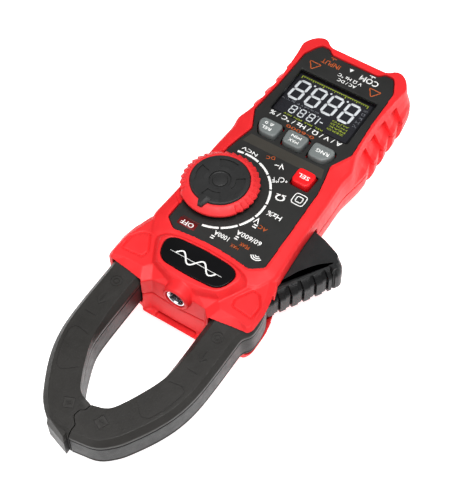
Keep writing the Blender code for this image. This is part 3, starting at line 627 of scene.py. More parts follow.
def socket_bores():
    return [turned("bore", SOCKET_BORE, (x, -60.0, SOCKET_HEIGHT), "+Y") for x in (-SOCKET_X, SOCKET_X)]


def at_screws(radius, sides, low, high):
    """Round cutters at the five case screws."""
    return [prism("screw_space", circle(middle(f"case_screw_{i}"), radius, sides), low, high)
            for i in range(1, 6)]


def rib_depth(s):
    """How far the side steps in at a station: 1 just past a rib's cliff, rising back to 0 before the next."""
    depth = np.zeros_like(s)
    for cliff in RIB_CLIFFS:
        depth = np.where((s >= cliff) & (s < cliff + RIB_RAMP), 1.0 - (s - cliff) / RIB_RAMP, depth)
    return depth


def ribbed(x, s, z):
    """The saw-tooth finger ribs down both sides of the display, deepest just below the upper edge."""
    lean = np.interp(z, RIB_HEIGHTS, RIB_DEPTHS)
    outer = smoothstep(24.4, 25.6, np.abs(x))
    return x - np.sign(x) * rib_depth(s) * lean * outer, s, z


def groove_depth(x, s, corners, width):
    """1 on a closed polygon's edges, falling to 0 at width from them."""
    nearest = np.full_like(x, 1e9)
    for (ax, ay), (bx, by) in zip(corners, corners[1:] + corners[:1]):
        dx, dy = bx - ax, by - ay
        along = np.clip(((x - ax) * dx + (s - ay) * dy) / (dx ** 2 + dy ** 2), 0, 1)
        nearest = np.minimum(nearest, np.hypot(x - ax - along * dx, s - ay - along * dy))
    return np.exp(-(nearest / width) ** 2)


def pad_grooves(x, s, z):
    """A fine groove round the pentagon pad on each shoulder of the head."""
    line = groove_depth(np.abs(x), s, rounded(PAD, 0.9, 3), 0.34)
    return x, s, z - 0.62 * line * (z > 32.8)


def mouth_space(name, rows):
    """The space in front of the leaning wall between the jaws, with its two slanted side faces."""
    levels = []
    for height, wall, near, far in rows:
        bend = (near[0] * 0.5, wall - 0.25 * (wall - near[1]) - 0.1)
        half = ((0.0, wall), bend, near, far, (far[0], 118.0), (0.0, 118.0))
        levels.append((mirrored(half), height))
    return loft(name, levels)


def head_form():
    seam, brow, top = (rounded(mirrored(half), 0.9, 3) for half in (HEAD_SEAM, HEAD_BROW, HEAD_TOP))
    return loft("head_form", [(seam, SEAM + GAP / 2), (seam, 31.2), (brow, 32.3), (top, 34.2)])


def hump_form():
    base, top = mirrored(HUMP_BASE), mirrored(HUMP_TOP)
    plans = ((base, 30.0), (base, 33.8), (top, 37.3), (offset(top, -0.35), 37.8), (offset(top, -1.0), 38.0))
    return loft("hump_form", [(rounded(plan, 3.0, 4), height) for plan, height in plans])


def front_cavities():
    inner = body_levels(CAVITY_ROWS, 31.3, 2.6, 0.3)
    return [loft("cavity", [(inner[0][0], 20.0)] + inner[:-1] + [(inner[-1][0], DECK_LOW)]),
            prism("head_cavity", mirrored(HEAD_CAVITY), 20.0, DECK_LOW)]


def face_openings():
    """Cutters for what lies in the front: the face, display, selector, badge, torch and keys."""
    face = rounded(offset(mirrored(FACE_HALF), GAP), 1.0, 3)
    badge = rounded(offset(mirrored(BADGE_HALF), GAP), 3.0, 4)
    ways = [prism("key_way", offset(plan, 0.5), DECK_LOW - 1, ABOVE) for plan in KEY_PLANS.values()]
    return [prism("face_recess", face, DECK_TOP, ABOVE),
            prism("display_way", rectangle(-22.4, 22.4, -36.2, -4.4), DECK_LOW - 1, ABOVE),
            prism("knob_recess", circle(KNOB, 20.4), KNOB_LOW - 0.6, ABOVE),
            prism("shaft_way", circle(KNOB, 5.5, 24), DECK_LOW - 2, ABOVE),
            prism("badge_recess", badge, BADGE_TOP - 1.5, ABOVE),
            turned("torch_bore", TORCH_BORE, (0, 93.2, TORCH_AXIS), "+Y"), *ways]


def make_front_case(finish):
    shell = loft("front_case", body_levels(BODY_ROWS))
    joined(shell, head_form(), hump_form())
    cut(shell, mouth_space("front_mouth", MOUTH_FRONT))
    joined(shell, turned("torch_form", TORCH_BOSS, (0, TORCH_START, TORCH_AXIS), "+Y", 56))
    cut(shell, *front_cavities(), *mechanism_space("front", SEAM - 2, 36.0), *socket_bores(),
        *face_openings())
    melted(shell, 0.3)
    sculpt(shell, ribbed)
    sculpt(shell, pad_grooves)
    thinned(shell, 0.4)
    settle(shell, finish, "case", ["front_shell"], angle=38)


def rear_cavity():
    """The hollow of the rear, which leaves the battery bay's walls, the bosses and the head's floor."""
    half = [(max(0.0, wall[0] - 2.4), wall[1]) for wall, _ in CAVITY_ROWS[:-2]]
    plan = mirrored(half + [(34.0, 82.5), (35.2, 89.0), (35.3, 99.6), (0.0, 99.8)])
    levels = [([(x * (1 - loss), s) for x, s in plan], max(2.6, height)) for height, loss in REAR_TAPER[2:]]
    cavity = loft("rear_cavity", levels + [(plan, 25.0)])
    cut(cavity, side_prism("head_floor", HEAD_FLOOR, -50.0, 50.0),
        prism("bay_walls", rectangle(-19.3, 19.3, -32.9, 25.9), 0.4, 16.2),
        turned("pivot_boss", PIVOT_BOSS, (*PIVOT, 0.4)),
        *[turned("screw_boss", SCREW_BOSS, (*middle(f"case_screw_{i}"), 0.4)) for i in range(1, 6)])
    return cavity


def make_rear_case(finish):
    half = [wall for wall, _ in BODY_ROWS[:-3]] + list(HEAD_SEAM[3:])
    plan = rounded(mirrored(half), 1.6, 3)
    levels = [([(x * (1 - loss), s) for x, s in plan], height) for height, loss in REAR_TAPER]
    shell = loft("rear_case", levels + [(plan, SEAM - GAP / 2)])
    joined(shell, side_prism("lip", LIP, -17.0, 17.0))
    cut(shell, mouth_space("rear_mouth", MOUTH_REAR), side_prism("lip_shadow", LIP_SHADOW, -10.4, 10.4))
    cut(shell, rear_cavity(), side_prism("head_slope", HEAD_SLOPE, -50.0, 50.0),
        *mechanism_space("rear", 0.0, SEAM + 2), *socket_bores(),
        prism("battery_bay", rectangle(-17.6, 17.6, -31.2, 24.2), -1.0, 14.6),
        prism("door_recess", rounded(rectangle(-17.5, 17.5, -31.1, 32.3), 1.2, 3), -1.0, 2.3),
        prism("pin_way", circle(PIVOT, 3.3, 24), 8.0, 16.0),
        *at_screws(3.1, 24, -1.0, 9.0), *at_screws(1.7, 16, 8.0, 24.0))
    melted(shell, 0.5)
    sculpt(shell, ribbed)
    thinned(shell, 0.4)
    settle(shell, finish, "case", ["rear_shell"], angle=50)


# ---------------------------------------------------------------- faceplate, display and keys

KEY_PLANS = {
    "range_key": ((-8.2, 1.4), (-8.6, 10.2), (-17.0, 10.4), (-20.2, 5.2), (-19.4, 1.4)),
    "max_min_key": ((6.0, 1.4), (5.2, 10.0), (-5.2, 10.0), (-6.0, 1.4)),
    "relative_key": ((19.4, 1.4), (20.2, 5.2), (17.0, 10.4), (8.6, 10.2), (8.2, 1.4)),
    "function_key": ((-10.0, 17.8), (-10.2, 26.8), (-19.4, 27.0), (-19.8, 18.0))}
# Each key's words: the text, how far it stands from the key's middle, its size and its width.
KEY_WORDS = {
    "range_key": (("RNG", 0.0, 2.1, 6.6),),
    "max_min_key": (("MAX", -1.5, 1.7, 5.2), ("MIN", 1.3, 1.7, 5.2)),
    "relative_key": (("REL", -1.5, 1.7, 5.0), ("Δ 0", 1.3, 1.7, 4.6)),
    "function_key": (("SEL", 0.0, 2.2, 5.8),)}
DISPLAY = (-20.8, 20.8, -34.6, -6.0)
LCD_SHIFT = (0.9, -1.3)                  # what the display shows lies deeper than the film
FACE_BAND = ((-19.6, 12.2), (19.6, 12.2), (21.2, 17.6), (-21.2, 17.6))
KNOB_DISH = ((0, 0), (19.6, 0), (20.2, 0.4), (0, 0.4))


def make_face(finish):
    outline = rounded(mirrored(FACE_HALF), 0.9, 3)
    face = crowned("face_film", outline, span("faceplate")[0], FACE, 0.25, 2)
    window = rectangle(*DISPLAY)
    opening = rounded(window, 1.0, 3)
    bezel = loft("window_way", [(opening, 30.0), (opening, FACE - 0.5),
                                (rounded(offset(window, 0.7), 1.4, 3), FACE + 0.2)])
    ways = [prism("key_slot", rounded(offset(plan, 0.55), 1.6, 3), 30.0, 40.0) for plan in KEY_PLANS.values()]
    cut(face, bezel, prism("shaft_slot", circle(KNOB, 5.4, 24), 30.0, 40.0),
        turned("knob_dish", KNOB_DISH, (*KNOB, FACE - 0.35), sides=72), *ways)
    settle(face, finish["face"], "case", ["faceplate"])
    settle(prism("face_band", FACE_BAND, FACE + 0.01, FACE + 0.04), finish["face_band"], "case")


def seven_segments(x, station, width, height, stroke, level):
    """A figure eight of seven bevelled segments, with its lower left corner at the plan point."""
    pieces = []
    slim, tip, half, lean = 0.12 * stroke, stroke / 2, height / 2, 0.07

    def bar(x0, s0, x1, s1):
        along = Vector((x1 - x0, s1 - s0))
        length = along.length
        along.normalize()
        side = Vector((-along.y, along.x))
        start, end = Vector((x0, s0)) + along * slim, Vector((x0, s0)) + along * (length - slim)
        corners = [start, start + along * tip + side * -tip, end - along * tip + side * -tip, end,
                   end - along * tip + side * tip, start + along * tip + side * tip]
        pieces.append(prism("segment", [tuple(c) for c in corners], level, level + 0.08))

    corners = {(i, j): (x + width * i + lean * half * j, station + half * j)
               for i in (0, 1) for j in (0, 1, 2)}
    for j in (0, 1, 2):
        bar(*corners[0, j], *corners[1, j])
    for i in (0, 1):
        for j in (0, 1):
            bar(*corners[i, j], *corners[i, j + 1])
    return pieces


def make_display(finish):
    dx, ds = LCD_SHIFT
    level = LCD_TOP + 0.35
    panel = crowned("lcd_glass", rectangle(-21.4, 21.4, -37.0, -5.6), LCD_TOP + 0.05, level, 0.1, 2)
    settle(panel, finish["lcd"], "case")
    mask = prism("lcd_mask", rectangle(-22.0, 22.0, -37.4, -5.0), level, level + 0.12)
    area = rectangle(-19.6 + dx, 20.4 + dx, -33.2 + ds, -7.4 + ds)
    cut(mask, prism("lcd_area", rounded(area, 0.5, 2), 20.0, 40.0))
    settle(mask, finish["lcd_frame"], "case")
    level += 0.02

    def point(x, s, radius, sides):
        return prism("point", circle((x, s + ds), radius, sides), level, level + 0.08)

    def line(points, width, thickness=0.06):
        return ribbon([(x + dx, s + ds) for x, s in points], width, level, thickness)

    def row(words, x, s, step_x, step_s, size, width):
        return [lettering(text, x + step_x * i + dx, s + step_s * i + ds, level, size, width=width)
                for i, text in enumerate(words)]

    white = []
    for i in range(4):
        left = -15.2 + 9.05 * i + dx
        white += seven_segments(left, -29.4 + ds, 5.6, 11.6, 1.35, level)
        if i < 3:
            white.append(point(left + 7.3, -29.6, 0.55, 12))
    for i in range(3):
        left = 0.4 + 4.9 * i + dx
        white += seven_segments(left, -14.2 + ds, 2.6, 4.6, 0.62, level)
        white.append(point(left - 1.1, -14.3, 0.28, 8))
    white += [line([(-2.0, -14.3), (-1.7, -9.6)], 0.6), line([(-4.6, -12.0), (-3.0, -12.0)], 0.6)]
    lime = row(("AUTO", "HOLD", "PEAK", "ZERO"), -12.0, -15.9, 0.0, 1.75, 1.05, 9.0)
    lime += row(("REL", "MAX", "MIN", "NCV"), -4.6, -7.9, 5.6, 0.0, 1.1, 4.4)
    for i in range(31):
        tall = 1.5 if i % 10 == 0 else (1.0 if i % 5 == 0 else 0.55)
        x = -17.6 + 1.2 * i
        lime.append(line([(x, -32.2), (x, -32.2 + tall)], 0.5, 0.08))
    lime.append(line([(-17.9, -32.3), (18.7, -32.3)], 0.3, 0.08))
    grey = row(("kΩ Hz", "mA V", "F %", "°C °F"), 2.4, -16.0, 5.2, 0.0, 1.1, 4.4)
    grey += row(("µm", "Ω", "k", "M", "°C"), -18.0, -29.2, 0.0, 2.7, 1.6, 2.0)
    settle_marks("lcd_digits", white, finish["segment"])
    settle_marks("lcd_marks", lime, finish["lime"])
    settle_marks("lcd_units", grey, finish["grey_print"])


def make_keys(finish):
    for key, plan in KEY_PLANS.items():
        look = "key_red" if key == "function_key" else "key_grey"
        body = key.replace("key", "button")
        low, top = span(key)
        outline = rounded(plan, 2.6, 4)
        levels = [(outline, low), (outline, FACE + 0.5), (offset(outline, -0.12), FACE + 1.1)]
        for k in range(1, 6):
            turn = math.pi / 2 * k / 5
            inset = 0.15 + 0.95 * (1 - math.cos(turn))
            levels.append((offset(outline, -inset), top - 0.9 + 0.9 * math.sin(turn)))
        levels.append((offset(outline, -2.0), top))
        cap = loft(key.replace("key", "cap"), levels)
        settle(cap, finish[look.replace("_grey", "")], body, [key])
        x, s = (sum(values) / len(plan) for values in zip(*plan))
        marks = [lettering(text, x, s - rise, top - 0.02, size, 0.07, width=width)
                 for text, rise, size, width in KEY_WORDS[key]]
        settle_marks(key.replace("key", "legend"), marks, finish["white"], body)


# ---------------------------------------------------------------- print on the face

DIAL = (14.1, 45.6)
# Each word: the text, its place in plan, its size, its width and its turn in degrees.
WHITE_WORDS = (
    ("NCV", 14.6, 21.4, 1.9, 8.4, -4), ("V~", -1.4, 21.4, 3.3, 4.6, 22), ("°C/°F", -5.6, 28.0, 3.2, 7.0, 32),
    ("Ω", -11.0, 36.2, 3.7, 4.6, 12), ("Hz%", -14.0, 46.0, 2.8, 7.2, 0), ("V", -9.1, 52.2, 3.4, 2.8, 0),
    ("=", -9.8, 55.3, 2.0, 2.0, 0), ("60/600A", -11.0, 62.1, 2.6, 12.8, 0), ("=", -6.4, 64.9, 1.8, 1.8, 0),
    ("1000A", -0.2, 67.5, 2.5, 7.6, 0), ("=", 2.9, 70.1, 1.8, 1.8, 0), ("COM", -10.6, -44.4, 3.5, 9.8, 0),
    ("V Ω Hz °C", -2.4, -40.4, 2.1, 13.0, 0), ("AC / DC", -2.2, -37.6, 1.9, 10.0, 0),
    ("A / V / Ω / Hz / °C / %", 0.2, -3.9, 2.7, 38.5, 0))
ORANGE_WORDS = (
    ("DC", 4.6, 19.4, 2.0, 4.2, 22), ("AC", -13.4, 54.6, 2.2, 4.4, -6), ("PEAK", -11.6, 66.6, 2.0, 5.0, 0),
    ("MAX", -8.2, 69.3, 1.8, 4.2, 0), ("INPUT", 10.4, -44.2, 3.0, 10.0, 0),
    ("0-6000", 1.2, -0.7, 1.9, 15.0, 0))


def make_print(finish):
    level = FACE + 0.02
    white, orange, red = [], [], []
    arcs = [(-76.0, -84.0)] + [(-86.0 - 22.0 * i, -106.0 - 22.0 * i) for i in range(8)]
    for start, end in arcs:
        white.append(ribbon(arc_points(DIAL, 22.0, start, end), 1.15, level))
    for group, words in ((white, WHITE_WORDS), (orange, ORANGE_WORDS)):
        for text, x, s, size, width, turn in words:
            group.append(lettering(text, x, s, level, size, turn=turn, width=width))
    for x in (-10.6, 10.8):
        group = white if x < 0 else orange
        group.append(ribbon([(x - 1.6, -47.9), (x + 1.6, -47.9)], 0.5, level))
        group.append(ribbon([(x, -47.9), (x, -46.7)], 0.5, level))
    white.append(prism("arrow", [(-1.2, -46.6), (1.2, -46.6), (0.0, -44.6)], level, level + 0.06))
    for x in (-15.9, 16.9):
        corners = rounded([(x - 3.1, -41.0), (x + 3.1, -41.0), (x, -36.4)], 0.6, 2)
        orange.append(ribbon(corners, 0.55, level, closed=True))
    for half in (3.0, 1.5):
        outline = rounded(rectangle(-18.8 - half, -18.8 + half, 32.6 - half, 32.6 + half), 0.5 * half, 3)
        white.append(ribbon(outline, 0.5, level, closed=True))
    for i in range(3):
        white.append(ribbon(arc_points((-19.0, 67.4), 1.1 + 0.95 * i, 30, 150, 10), 0.55, level))
    off_field = rounded(rectangle(11.6, 20.6, 68.2, 72.2), 0.5, 2)
    red.append(prism("off_field", off_field, level, level + 0.05))
    red.append(ribbon([(11.4, 67.6), (20.2, 67.6)], 0.3, level))
    white.append(lettering("OFF", 16.1, 70.2, level + 0.05, 2.5, width=6.6))
    settle_marks("white_marks", white, finish["white"])
    settle_marks("orange_marks", orange, finish["orange"])
    settle_marks("off_mark", red, finish["off_red"])


def make_badge(finish):
    outline = rounded(mirrored(BADGE_HALF), 3.0, 5)
    plate = crowned("badge", outline, BADGE_TOP - 1.1, BADGE_TOP, 0.35, 3)
    settle(plate, finish["badge"], "case", ["badge_plate"])
    wave = [(-10.5 + 21.0 * i / 60, 87.2 + 2.3 * math.sin(math.tau * i / 30)) for i in range(61)]
    marks = [ribbon(wave, 0.75, BADGE_TOP + 0.01),
             ribbon([(-13.2, 87.2), (13.2, 87.2)], 0.28, BADGE_TOP + 0.01, 0.04)]
    settle_marks("badge_wave", marks, finish["white"])


# ---------------------------------------------------------------- selector

TEETH = 34
# The ring's levels: its radius, how deep its notches are, and how far it is above the ring's foot.
RING_LEVELS = (
    (17.0, 0.3, 0.0), (17.5, 0.5, 0.5), (18.0, 0.65, 1.3), (18.35, 0.75, 2.3), (18.2, 0.95, 2.9),
    (17.5, 1.15, 3.5), (16.6, 1.0, 4.1), (15.7, 0.4, 4.6), (14.9, 0.0, 4.95), (14.2, 0.0, 5.05))
CAP_PROFILE = ((0, 0), (13.0, 0), (13.6, 0.3), (13.6, 1.6), (13.35, 2.1), (12.8, 2.3), (9.0, 2.15),
               (5.4, 2.0), (5.1, 1.95), (4.9, 1.25), (4.6, 1.1), (3.6, 1.1), (3.3, 1.6), (2.9, 1.7), (0, 1.75))
# The pointer's foot and its ridge, in plan from the selector's centre.
POINTER_FOOT = ((-2.2, 8.4), (2.2, 8.4), (3.1, 12.2), (1.0, 16.6), (-1.0, 16.6), (-3.1, 12.2))
POINTER_RIDGE = ((-0.3, 9.0), (0.3, 9.0), (0.9, 12.4), (0.3, 15.6), (-0.3, 15.6), (-0.9, 12.4))


def ring_outline(radius, tooth, count=384):
    """A circle with saw-tooth finger notches all round but for the quarter under the pointer."""
    points = []
    for i in range(count):
        angle = math.tau * i / count
        plain = float(smoothstep(math.cos(math.radians(52)), math.cos(math.radians(44)),
                                 math.cos(angle - math.radians(95))))
        phase = (angle * TEETH / math.tau) % 1.0
        notch = 1.0 - phase / 0.86 if phase < 0.86 else (phase - 0.86) / 0.14
        reach = radius - tooth * (1.0 - plain) * notch
        points.append((KNOB[0] + reach * math.cos(angle), KNOB[1] + reach * math.sin(angle)))
    return points


def make_knob(finish):
    ring = loft("selector_ring", [(ring_outline(radius, tooth), KNOB_LOW + rise)
                                  for radius, tooth, rise in RING_LEVELS])
    cut(ring, prism("ring_well", circle(KNOB, 13.9, 72), 38.6, 50.0),
        prism("ring_way", circle(KNOB, 5.3, 24), 30.0, 50.0))
    settle(ring, finish["red_rubber"], "selector", ["knob_ring"], angle=32)
    cap = turned("selector_cap", CAP_PROFILE, (*KNOB, 38.9), sides=72)
    foot, ridge = ([(KNOB[0] + x, KNOB[1] + s) for x, s in half] for half in (POINTER_FOOT, POINTER_RIDGE))
    joined(cap, loft("pointer", [(foot, 39.4), (foot, 41.0), (offset(foot, -0.25), 41.3), (ridge, 42.1)]))
    for angle in (10, 100, 190, 280):
        outer = arc_points(KNOB, 11.4, angle - 24, angle + 24, 14)
        inner = arc_points(KNOB, 7.2, angle + 24, angle - 24, 12)
        cut(cap, prism("sector", outer + inner, 40.5, ABOVE))
    settle(cap, finish["cap"], "selector", ["knob_cap"], angle=25)


# ---------------------------------------------------------------- jaws

# Half outlines of the closed jaws, foot to tip: outer and inner edge, at full width and at the chamfer.
OUTER = ((34.2, 104.0), (34.2, 128.0), (33.4, 140.0), (31.0, 150.0), (26.6, 160.0), (19.6, 171.6),
         (12.6, 178.0), (0.0, 180.0))
OUTER_TOP = ((32.0, 104.0), (32.0, 128.0), (31.2, 139.4), (28.8, 149.0), (24.6, 158.2), (18.0, 169.4),
             (11.6, 176.0), (0.0, 177.6))
INNER = ((17.9, 104.0), (17.9, 120.0), (17.8, 136.0), (16.6, 142.5), (14.2, 148.2), (11.6, 154.0),
         (7.2, 161.6), (0.0, 163.6))
INNER_TOP = ((20.5, 104.0), (20.5, 124.0), (18.8, 136.2), (16.9, 142.5), (14.5, 148.2), (11.9, 154.0),
             (7.5, 161.8), (0.0, 163.9))
SPLIT = ((0.0, 174.6), (1.5, 173.2), (3.0, 171.5), (2.5, 168.4), (0.5, 167.0))
HOOK = ((13.6, 176.4), (11.8, 179.0), (0.6, 182.4), (0.9, 178.0))
HOOK_TOP = ((12.6, 176.4), (10.0, 178.0), (1.6, 181.2), (1.7, 177.2))
FIXED_ROOT, FIXED_ROOT_TOP = ((18.2, 81.0), (34.6, 81.0)), ((20.0, 81.0), (33.0, 81.0))
MOVING_SIDE = ((-34.6, 84.8), (-36.2, 88.2), (-37.2, 94.5), (-37.2, 100.2))
MOVING_SIDE_TOP = ((-33.4, 85.4), (-34.6, 88.6), (-35.4, 94.5), (-35.4, 99.8))
TANG = ((-31.8, 86.0), (-33.6, 72.0), (-31.0, 72.0), (-28.0, 86.0))
PANEL = ((20.6, 138.0), (27.4, 137.0), (29.2, 139.6), (27.0, 149.0), (23.6, 156.6),
         (20.4, 157.6), (14.6, 152.6))
JAW_ROUNDING = [2.0, 14.0, 8.0, 8.0, 8.0, 4.0, 4.0, 0.3]
SPLIT_GAP = 0.2
RIM = BAND_TOP + GAP
# Each layer's name, CAD node and finish, and its levels as (share of the way to the chamfer's inner outline,
# height).
JAW_LAYERS = (
    ("top", "front_cover", "jaw", ((0.12, RIM), (0.0, RIM + 0.35), (0.0, 29.4), (0.07, 29.75), (0.95, 31.85),
                                   (1.06, JAW_TOP))),
    ("middle", "band", "band", ((0.1, BAND_LOW), (0.0, BAND_LOW + 0.3), (0.0, BAND_TOP - 0.3),
                                (0.1, BAND_TOP))),
    ("bottom", "rear_cover", "jaw", ((1.0, JAW_LOW), (0.8, JAW_LOW + 0.25), (0.05, 16.3), (0.0, 16.6),
                                     (0.0, 17.0), (0.1, BAND_LOW - GAP))))


def jaw_plan(side, outer, inner, root):
    """One jaw in plan, rounded into smooth curves."""
    gap = side * SPLIT_GAP
    points = [(side * x, s) for x, s in outer[:-1]] + [(gap, outer[-1][1])]
    points += [(x + gap, s) for x, s in SPLIT] + [(gap, inner[-1][1])]
    points += [(side * x, s) for x, s in reversed(inner[:-1])] + list(root)
    rounding = JAW_ROUNDING + [0.6] * len(SPLIT) + list(reversed(JAW_ROUNDING)) + [2.0] * len(root)
    return rounded(points, rounding, 4)


def hub_root(points, radius):
    return arc_points(PIVOT, radius, 0, -128, 10) + list(points)


def engraved(points, width, depth, closed=False):
    """A cutter for a shallow line in the top of a jaw."""
    return ribbon(points, width, JAW_TOP - depth, 0.6, closed)


def jaw_marks(side):
    """A panel, a square near the tip with a plus or minus, and an arrow, line and ring near the head."""
    tip_x, tip_s, x = side * 8.2, 168.0, side * 26.2
    turn = math.radians(side * 24)
    square = [(tip_x + u * math.cos(turn) - v * math.sin(turn),
               tip_s + u * math.sin(turn) + v * math.cos(turn))
              for u, v in rectangle(-2.3, 2.3, -2.3, 2.3)]
    marks = [engraved(rounded([(side * px, s) for px, s in PANEL], 1.6, 3, closed=False), 0.35, 0.22),
             engraved(square, 0.35, 0.25, closed=True),
             engraved([(tip_x - 1.2, tip_s), (tip_x + 1.2, tip_s)], 0.4, 0.2)]
    if side > 0:
        marks.append(engraved([(tip_x, tip_s - 1.2), (tip_x, tip_s + 1.2)], 0.4, 0.2))
    marks += [engraved(circle((x, 110.0), radius, sides), 0.4, 0.22, closed=True)
              for radius, sides in ((2.6, 24), (1.2, 16))]
    marks.append(engraved([(x - 2.2, 121.0), (x, 123.6), (x + 2.2, 121.0)], 0.45, 0.22))
    marks.append(engraved([(x, 117.6), (x, 121.8)], 0.45, 0.22))
    marks.append(engraved([(x - 2.6, 129.0), (x + 2.6, 129.0)], 0.4, 0.22))
    return marks


def core_channel(side, end, station):
    """The channel for the laminated core, between two shares of the jaw's width."""
    rows = []
    for share in (0.21, 0.79):
        row = [(side * x, s) for x, s in mixed(OUTER, INNER, share)]
        row[0] = (row[0][0], station)
        row[-1] = (end, row[-1][1])
        rows.append(row)
    return rows[0] + list(reversed(rows[1]))


def jaw_layers(label, side, root, root_top):
    """The three layers of a jaw, from the face down."""
    plan = jaw_plan(side, OUTER, INNER, root)
    edge = jaw_plan(side, OUTER_TOP, INNER_TOP, root_top)
    return [loft(f"{label}_{name}", [(mixed(plan, edge, share), height) for share, height in levels])
            for name, _, _, levels in JAW_LAYERS]


def settle_jaw(label, layers, body, finish):
    for piece, (_, node, look, _) in zip(layers, JAW_LAYERS):
        settle(piece, finish[look], body, [f"{label}_jaw_{node}"])


def make_jaws(finish):
    layers = jaw_layers("fixed", 1, FIXED_ROOT, FIXED_ROOT_TOP)
    front, band, _ = layers
    joined(front, loft("hook_slope", [(HOOK, RIM), (HOOK_TOP, 30.6)]))
    joined(band, prism("hook", HOOK, BAND_LOW, BAND_TOP))
    cut(front, *jaw_marks(1))
    cut(band, prism("channel", core_channel(1, 4.6, 85.8), 19.2, 30.0),
        prism("base_channel", rectangle(10.0, 31.0, 85.8, 97.2), 19.2, 30.0))
    settle_jaw("fixed", layers, "case", finish)

    layers = jaw_layers("moving", -1, hub_root(MOVING_SIDE, 10.0), hub_root(MOVING_SIDE_TOP, 8.5))
    front, band, _ = layers
    for piece, radius in zip(layers, (3.3, 3.3, 5.8)):
        cut(piece, prism("pivot_bore", circle(PIVOT, radius, 32), 5.0, 40.0))
    cut(front, *jaw_marks(-1))
    cut(band, prism("moving_channel", core_channel(-1, -2.6, 101.0), 19.2, 30.0))
    joined(band, prism("tang", TANG, BAND_LOW + 1.4, BAND_TOP - 1.4))
    settle_jaw("moving", layers, "moving_jaw", finish)


# ---------------------------------------------------------------- trigger lever

GRIP_START, GRIP_ALONG = (-33.0, 82.4), (-0.505, -0.863)
GRIP_INWARD = (0.863, -0.505)
GRIP_LENGTH = 35.4
SLOTS = (6.9, 12.8, 18.7, 24.8, 30.8, 34.0)           # where the notches end, in mm along the grip
LEVER_REST = ((-47.4, 49.6), (-44.0, 46.0), (-34.0, 43.0), (-29.8, 45.0), (-28.8, 62.0), (-28.3, 75.0))
# The web between the grip and the plate, as (along the grip, inward from it).
WEB = ((1.0, 4.0), (33.5, 4.0), (32.0, 6.8), (26.0, 9.0), (12.0, 8.4), (2.0, 6.4))
PLATE = ((-29.4, 76.6), (-32.0, 71.4), (-36.2, 61.8), (-40.0, 56.0), (-42.8, 52.6), (-45.2, 51.6),
         (-47.4, 52.2), (-49.0, 53.4), (-50.9, 51.6), (-51.4, 48.9), (-49.5, 45.6), (-45.0, 42.8),
         (-37.0, 39.8), (-30.6, 38.5), (-29.2, 40.2), (-28.2, 62.0))
# How strongly each corner of the plate is rounded over, and the rounding at each height from the plate's top.
PLATE_EASE = (0.3, 0.3, 0.3, 0.3, 0.3, 0.35, 0.8, 2.6, 4.2, 4.0, 2.2, 0.9, 0.8, 0.7, 0.2, 0.2)
PLATE_CROWN = ((-5.0, 0.0), (-3.4, 0.12), (-2.2, 0.32), (-1.2, 0.55), (-0.5, 0.78), (-0.12, 0.95),
               (0.0, 1.15))
ROUNDING_STEPS = 4
# The grip's levels: height, drawn in by, and share of the notches' depth and width.
GRIP_LEVELS = (
    (13.8, 1.0, 0.7, 1.0), (14.1, 0.5, 0.9, 1.0), (14.8, 0.1, 1.0, 1.0), (15.6, 0.0, 1.0, 1.0),
    (23.0, 0.0, 1.0, 1.0), (24.0, 0.15, 1.0, 1.0), (24.8, 0.7, 1.0, 0.97), (25.7, 1.7, 0.95, 0.9),
    (26.4, 2.7, 0.85, 0.75), (26.9, 3.7, 0.5, 0.5), (27.3, 4.5, 0.0, 0.2), (27.4, 5.2, 0.0, 0.2))


def drawn_in(outline, amounts):
    """The outline moved inward by its own amount at every corner."""
    return [(x + (u - x) * amount, s + (v - s) * amount)
            for (x, s), (u, v), amount in zip(outline, offset(outline, -1.0), amounts)]


def grip_point(along, inward):
    """A place on the lever, measured along its grip and in from it."""
    return (GRIP_START[0] + GRIP_ALONG[0] * along + GRIP_INWARD[0] * inward,
            GRIP_START[1] + GRIP_ALONG[1] * along + GRIP_INWARD[1] * inward)


def grip_outline(inset, depth, width):
    """The lever in plan, with saw-tooth notches down its grip."""
    marks = [(0.0, 0.0)]
    for slot in SLOTS:
        pitch = 2.9 if slot < 33.0 else 1.4
        start = slot - pitch * width
        marks += [(start - 0.1, 0.0), (start + 0.15, 0.55), (slot - 0.85, 0.75), (slot - 0.7, 1.5),
                  (slot - 0.1, 1.5), (slot + 0.1, 0.0)]
    marks.append((GRIP_LENGTH, 0.0))
    return [grip_point(along, inset + notch * depth) for along, notch in marks] + list(LEVER_REST)


def make_lever(finish):
    grip = loft("lever_pad", [(grip_outline(inset, depth, width), z)
                              for z, inset, depth, width in GRIP_LEVELS])
    settle(grip, finish["grip"], "moving_jaw", ["lever_grip"], angle=28)
    web = prism("lever_web", [grip_point(*place) for place in WEB], 20.0, 27.35)
    settle(web, finish["lever"], "moving_jaw")
    profile = [(LEVER_LOW, 0.6), (LEVER_LOW + 0.4, 0.2), (LEVER_LOW + 1.0, 0.0)]
    profile += [(LEVER_TOP + rise, amount) for rise, amount in PLATE_CROWN]
    plate = rounded(PLATE, 1.6, ROUNDING_STEPS)
    ease = [PLATE_EASE[i // (ROUNDING_STEPS + 1)] for i in range(len(plate))]
    body = loft("lever_body", [(drawn_in(plate, [amount * e for e in ease]), z) for z, amount in profile])
    settle(body, finish["lever"], "moving_jaw", ["trigger_lever"], angle=40)


# ---------------------------------------------------------------- sockets, torch and door

# Profiles as (radius, distance along the axis).
SLEEVE = ((4.6, 0.3), (4.9, 0.0), (5.9, 0.0), (6.2, 0.3), (6.2, 18.0), (3.2, 18.0), (3.2, 8.6), (4.6, 8.6))
LENS = ((0, 0), (3.3, 0), (3.3, 1.2), (2.6, 1.9), (1.4, 2.3), (0, 2.45))
LENS_RING = ((3.4, 0), (4.7, 0), (4.7, 1.9), (4.4, 2.2), (3.9, 2.1), (3.4, 1.5))
REFLECTOR = ((0, 0), (3.2, 0), (3.2, 0.25), (1.4, 0.15), (0, 0.15))
DOOR_WELL = ((0, 0), (2.7, 0), (2.7, 1.4), (0, 1.4))


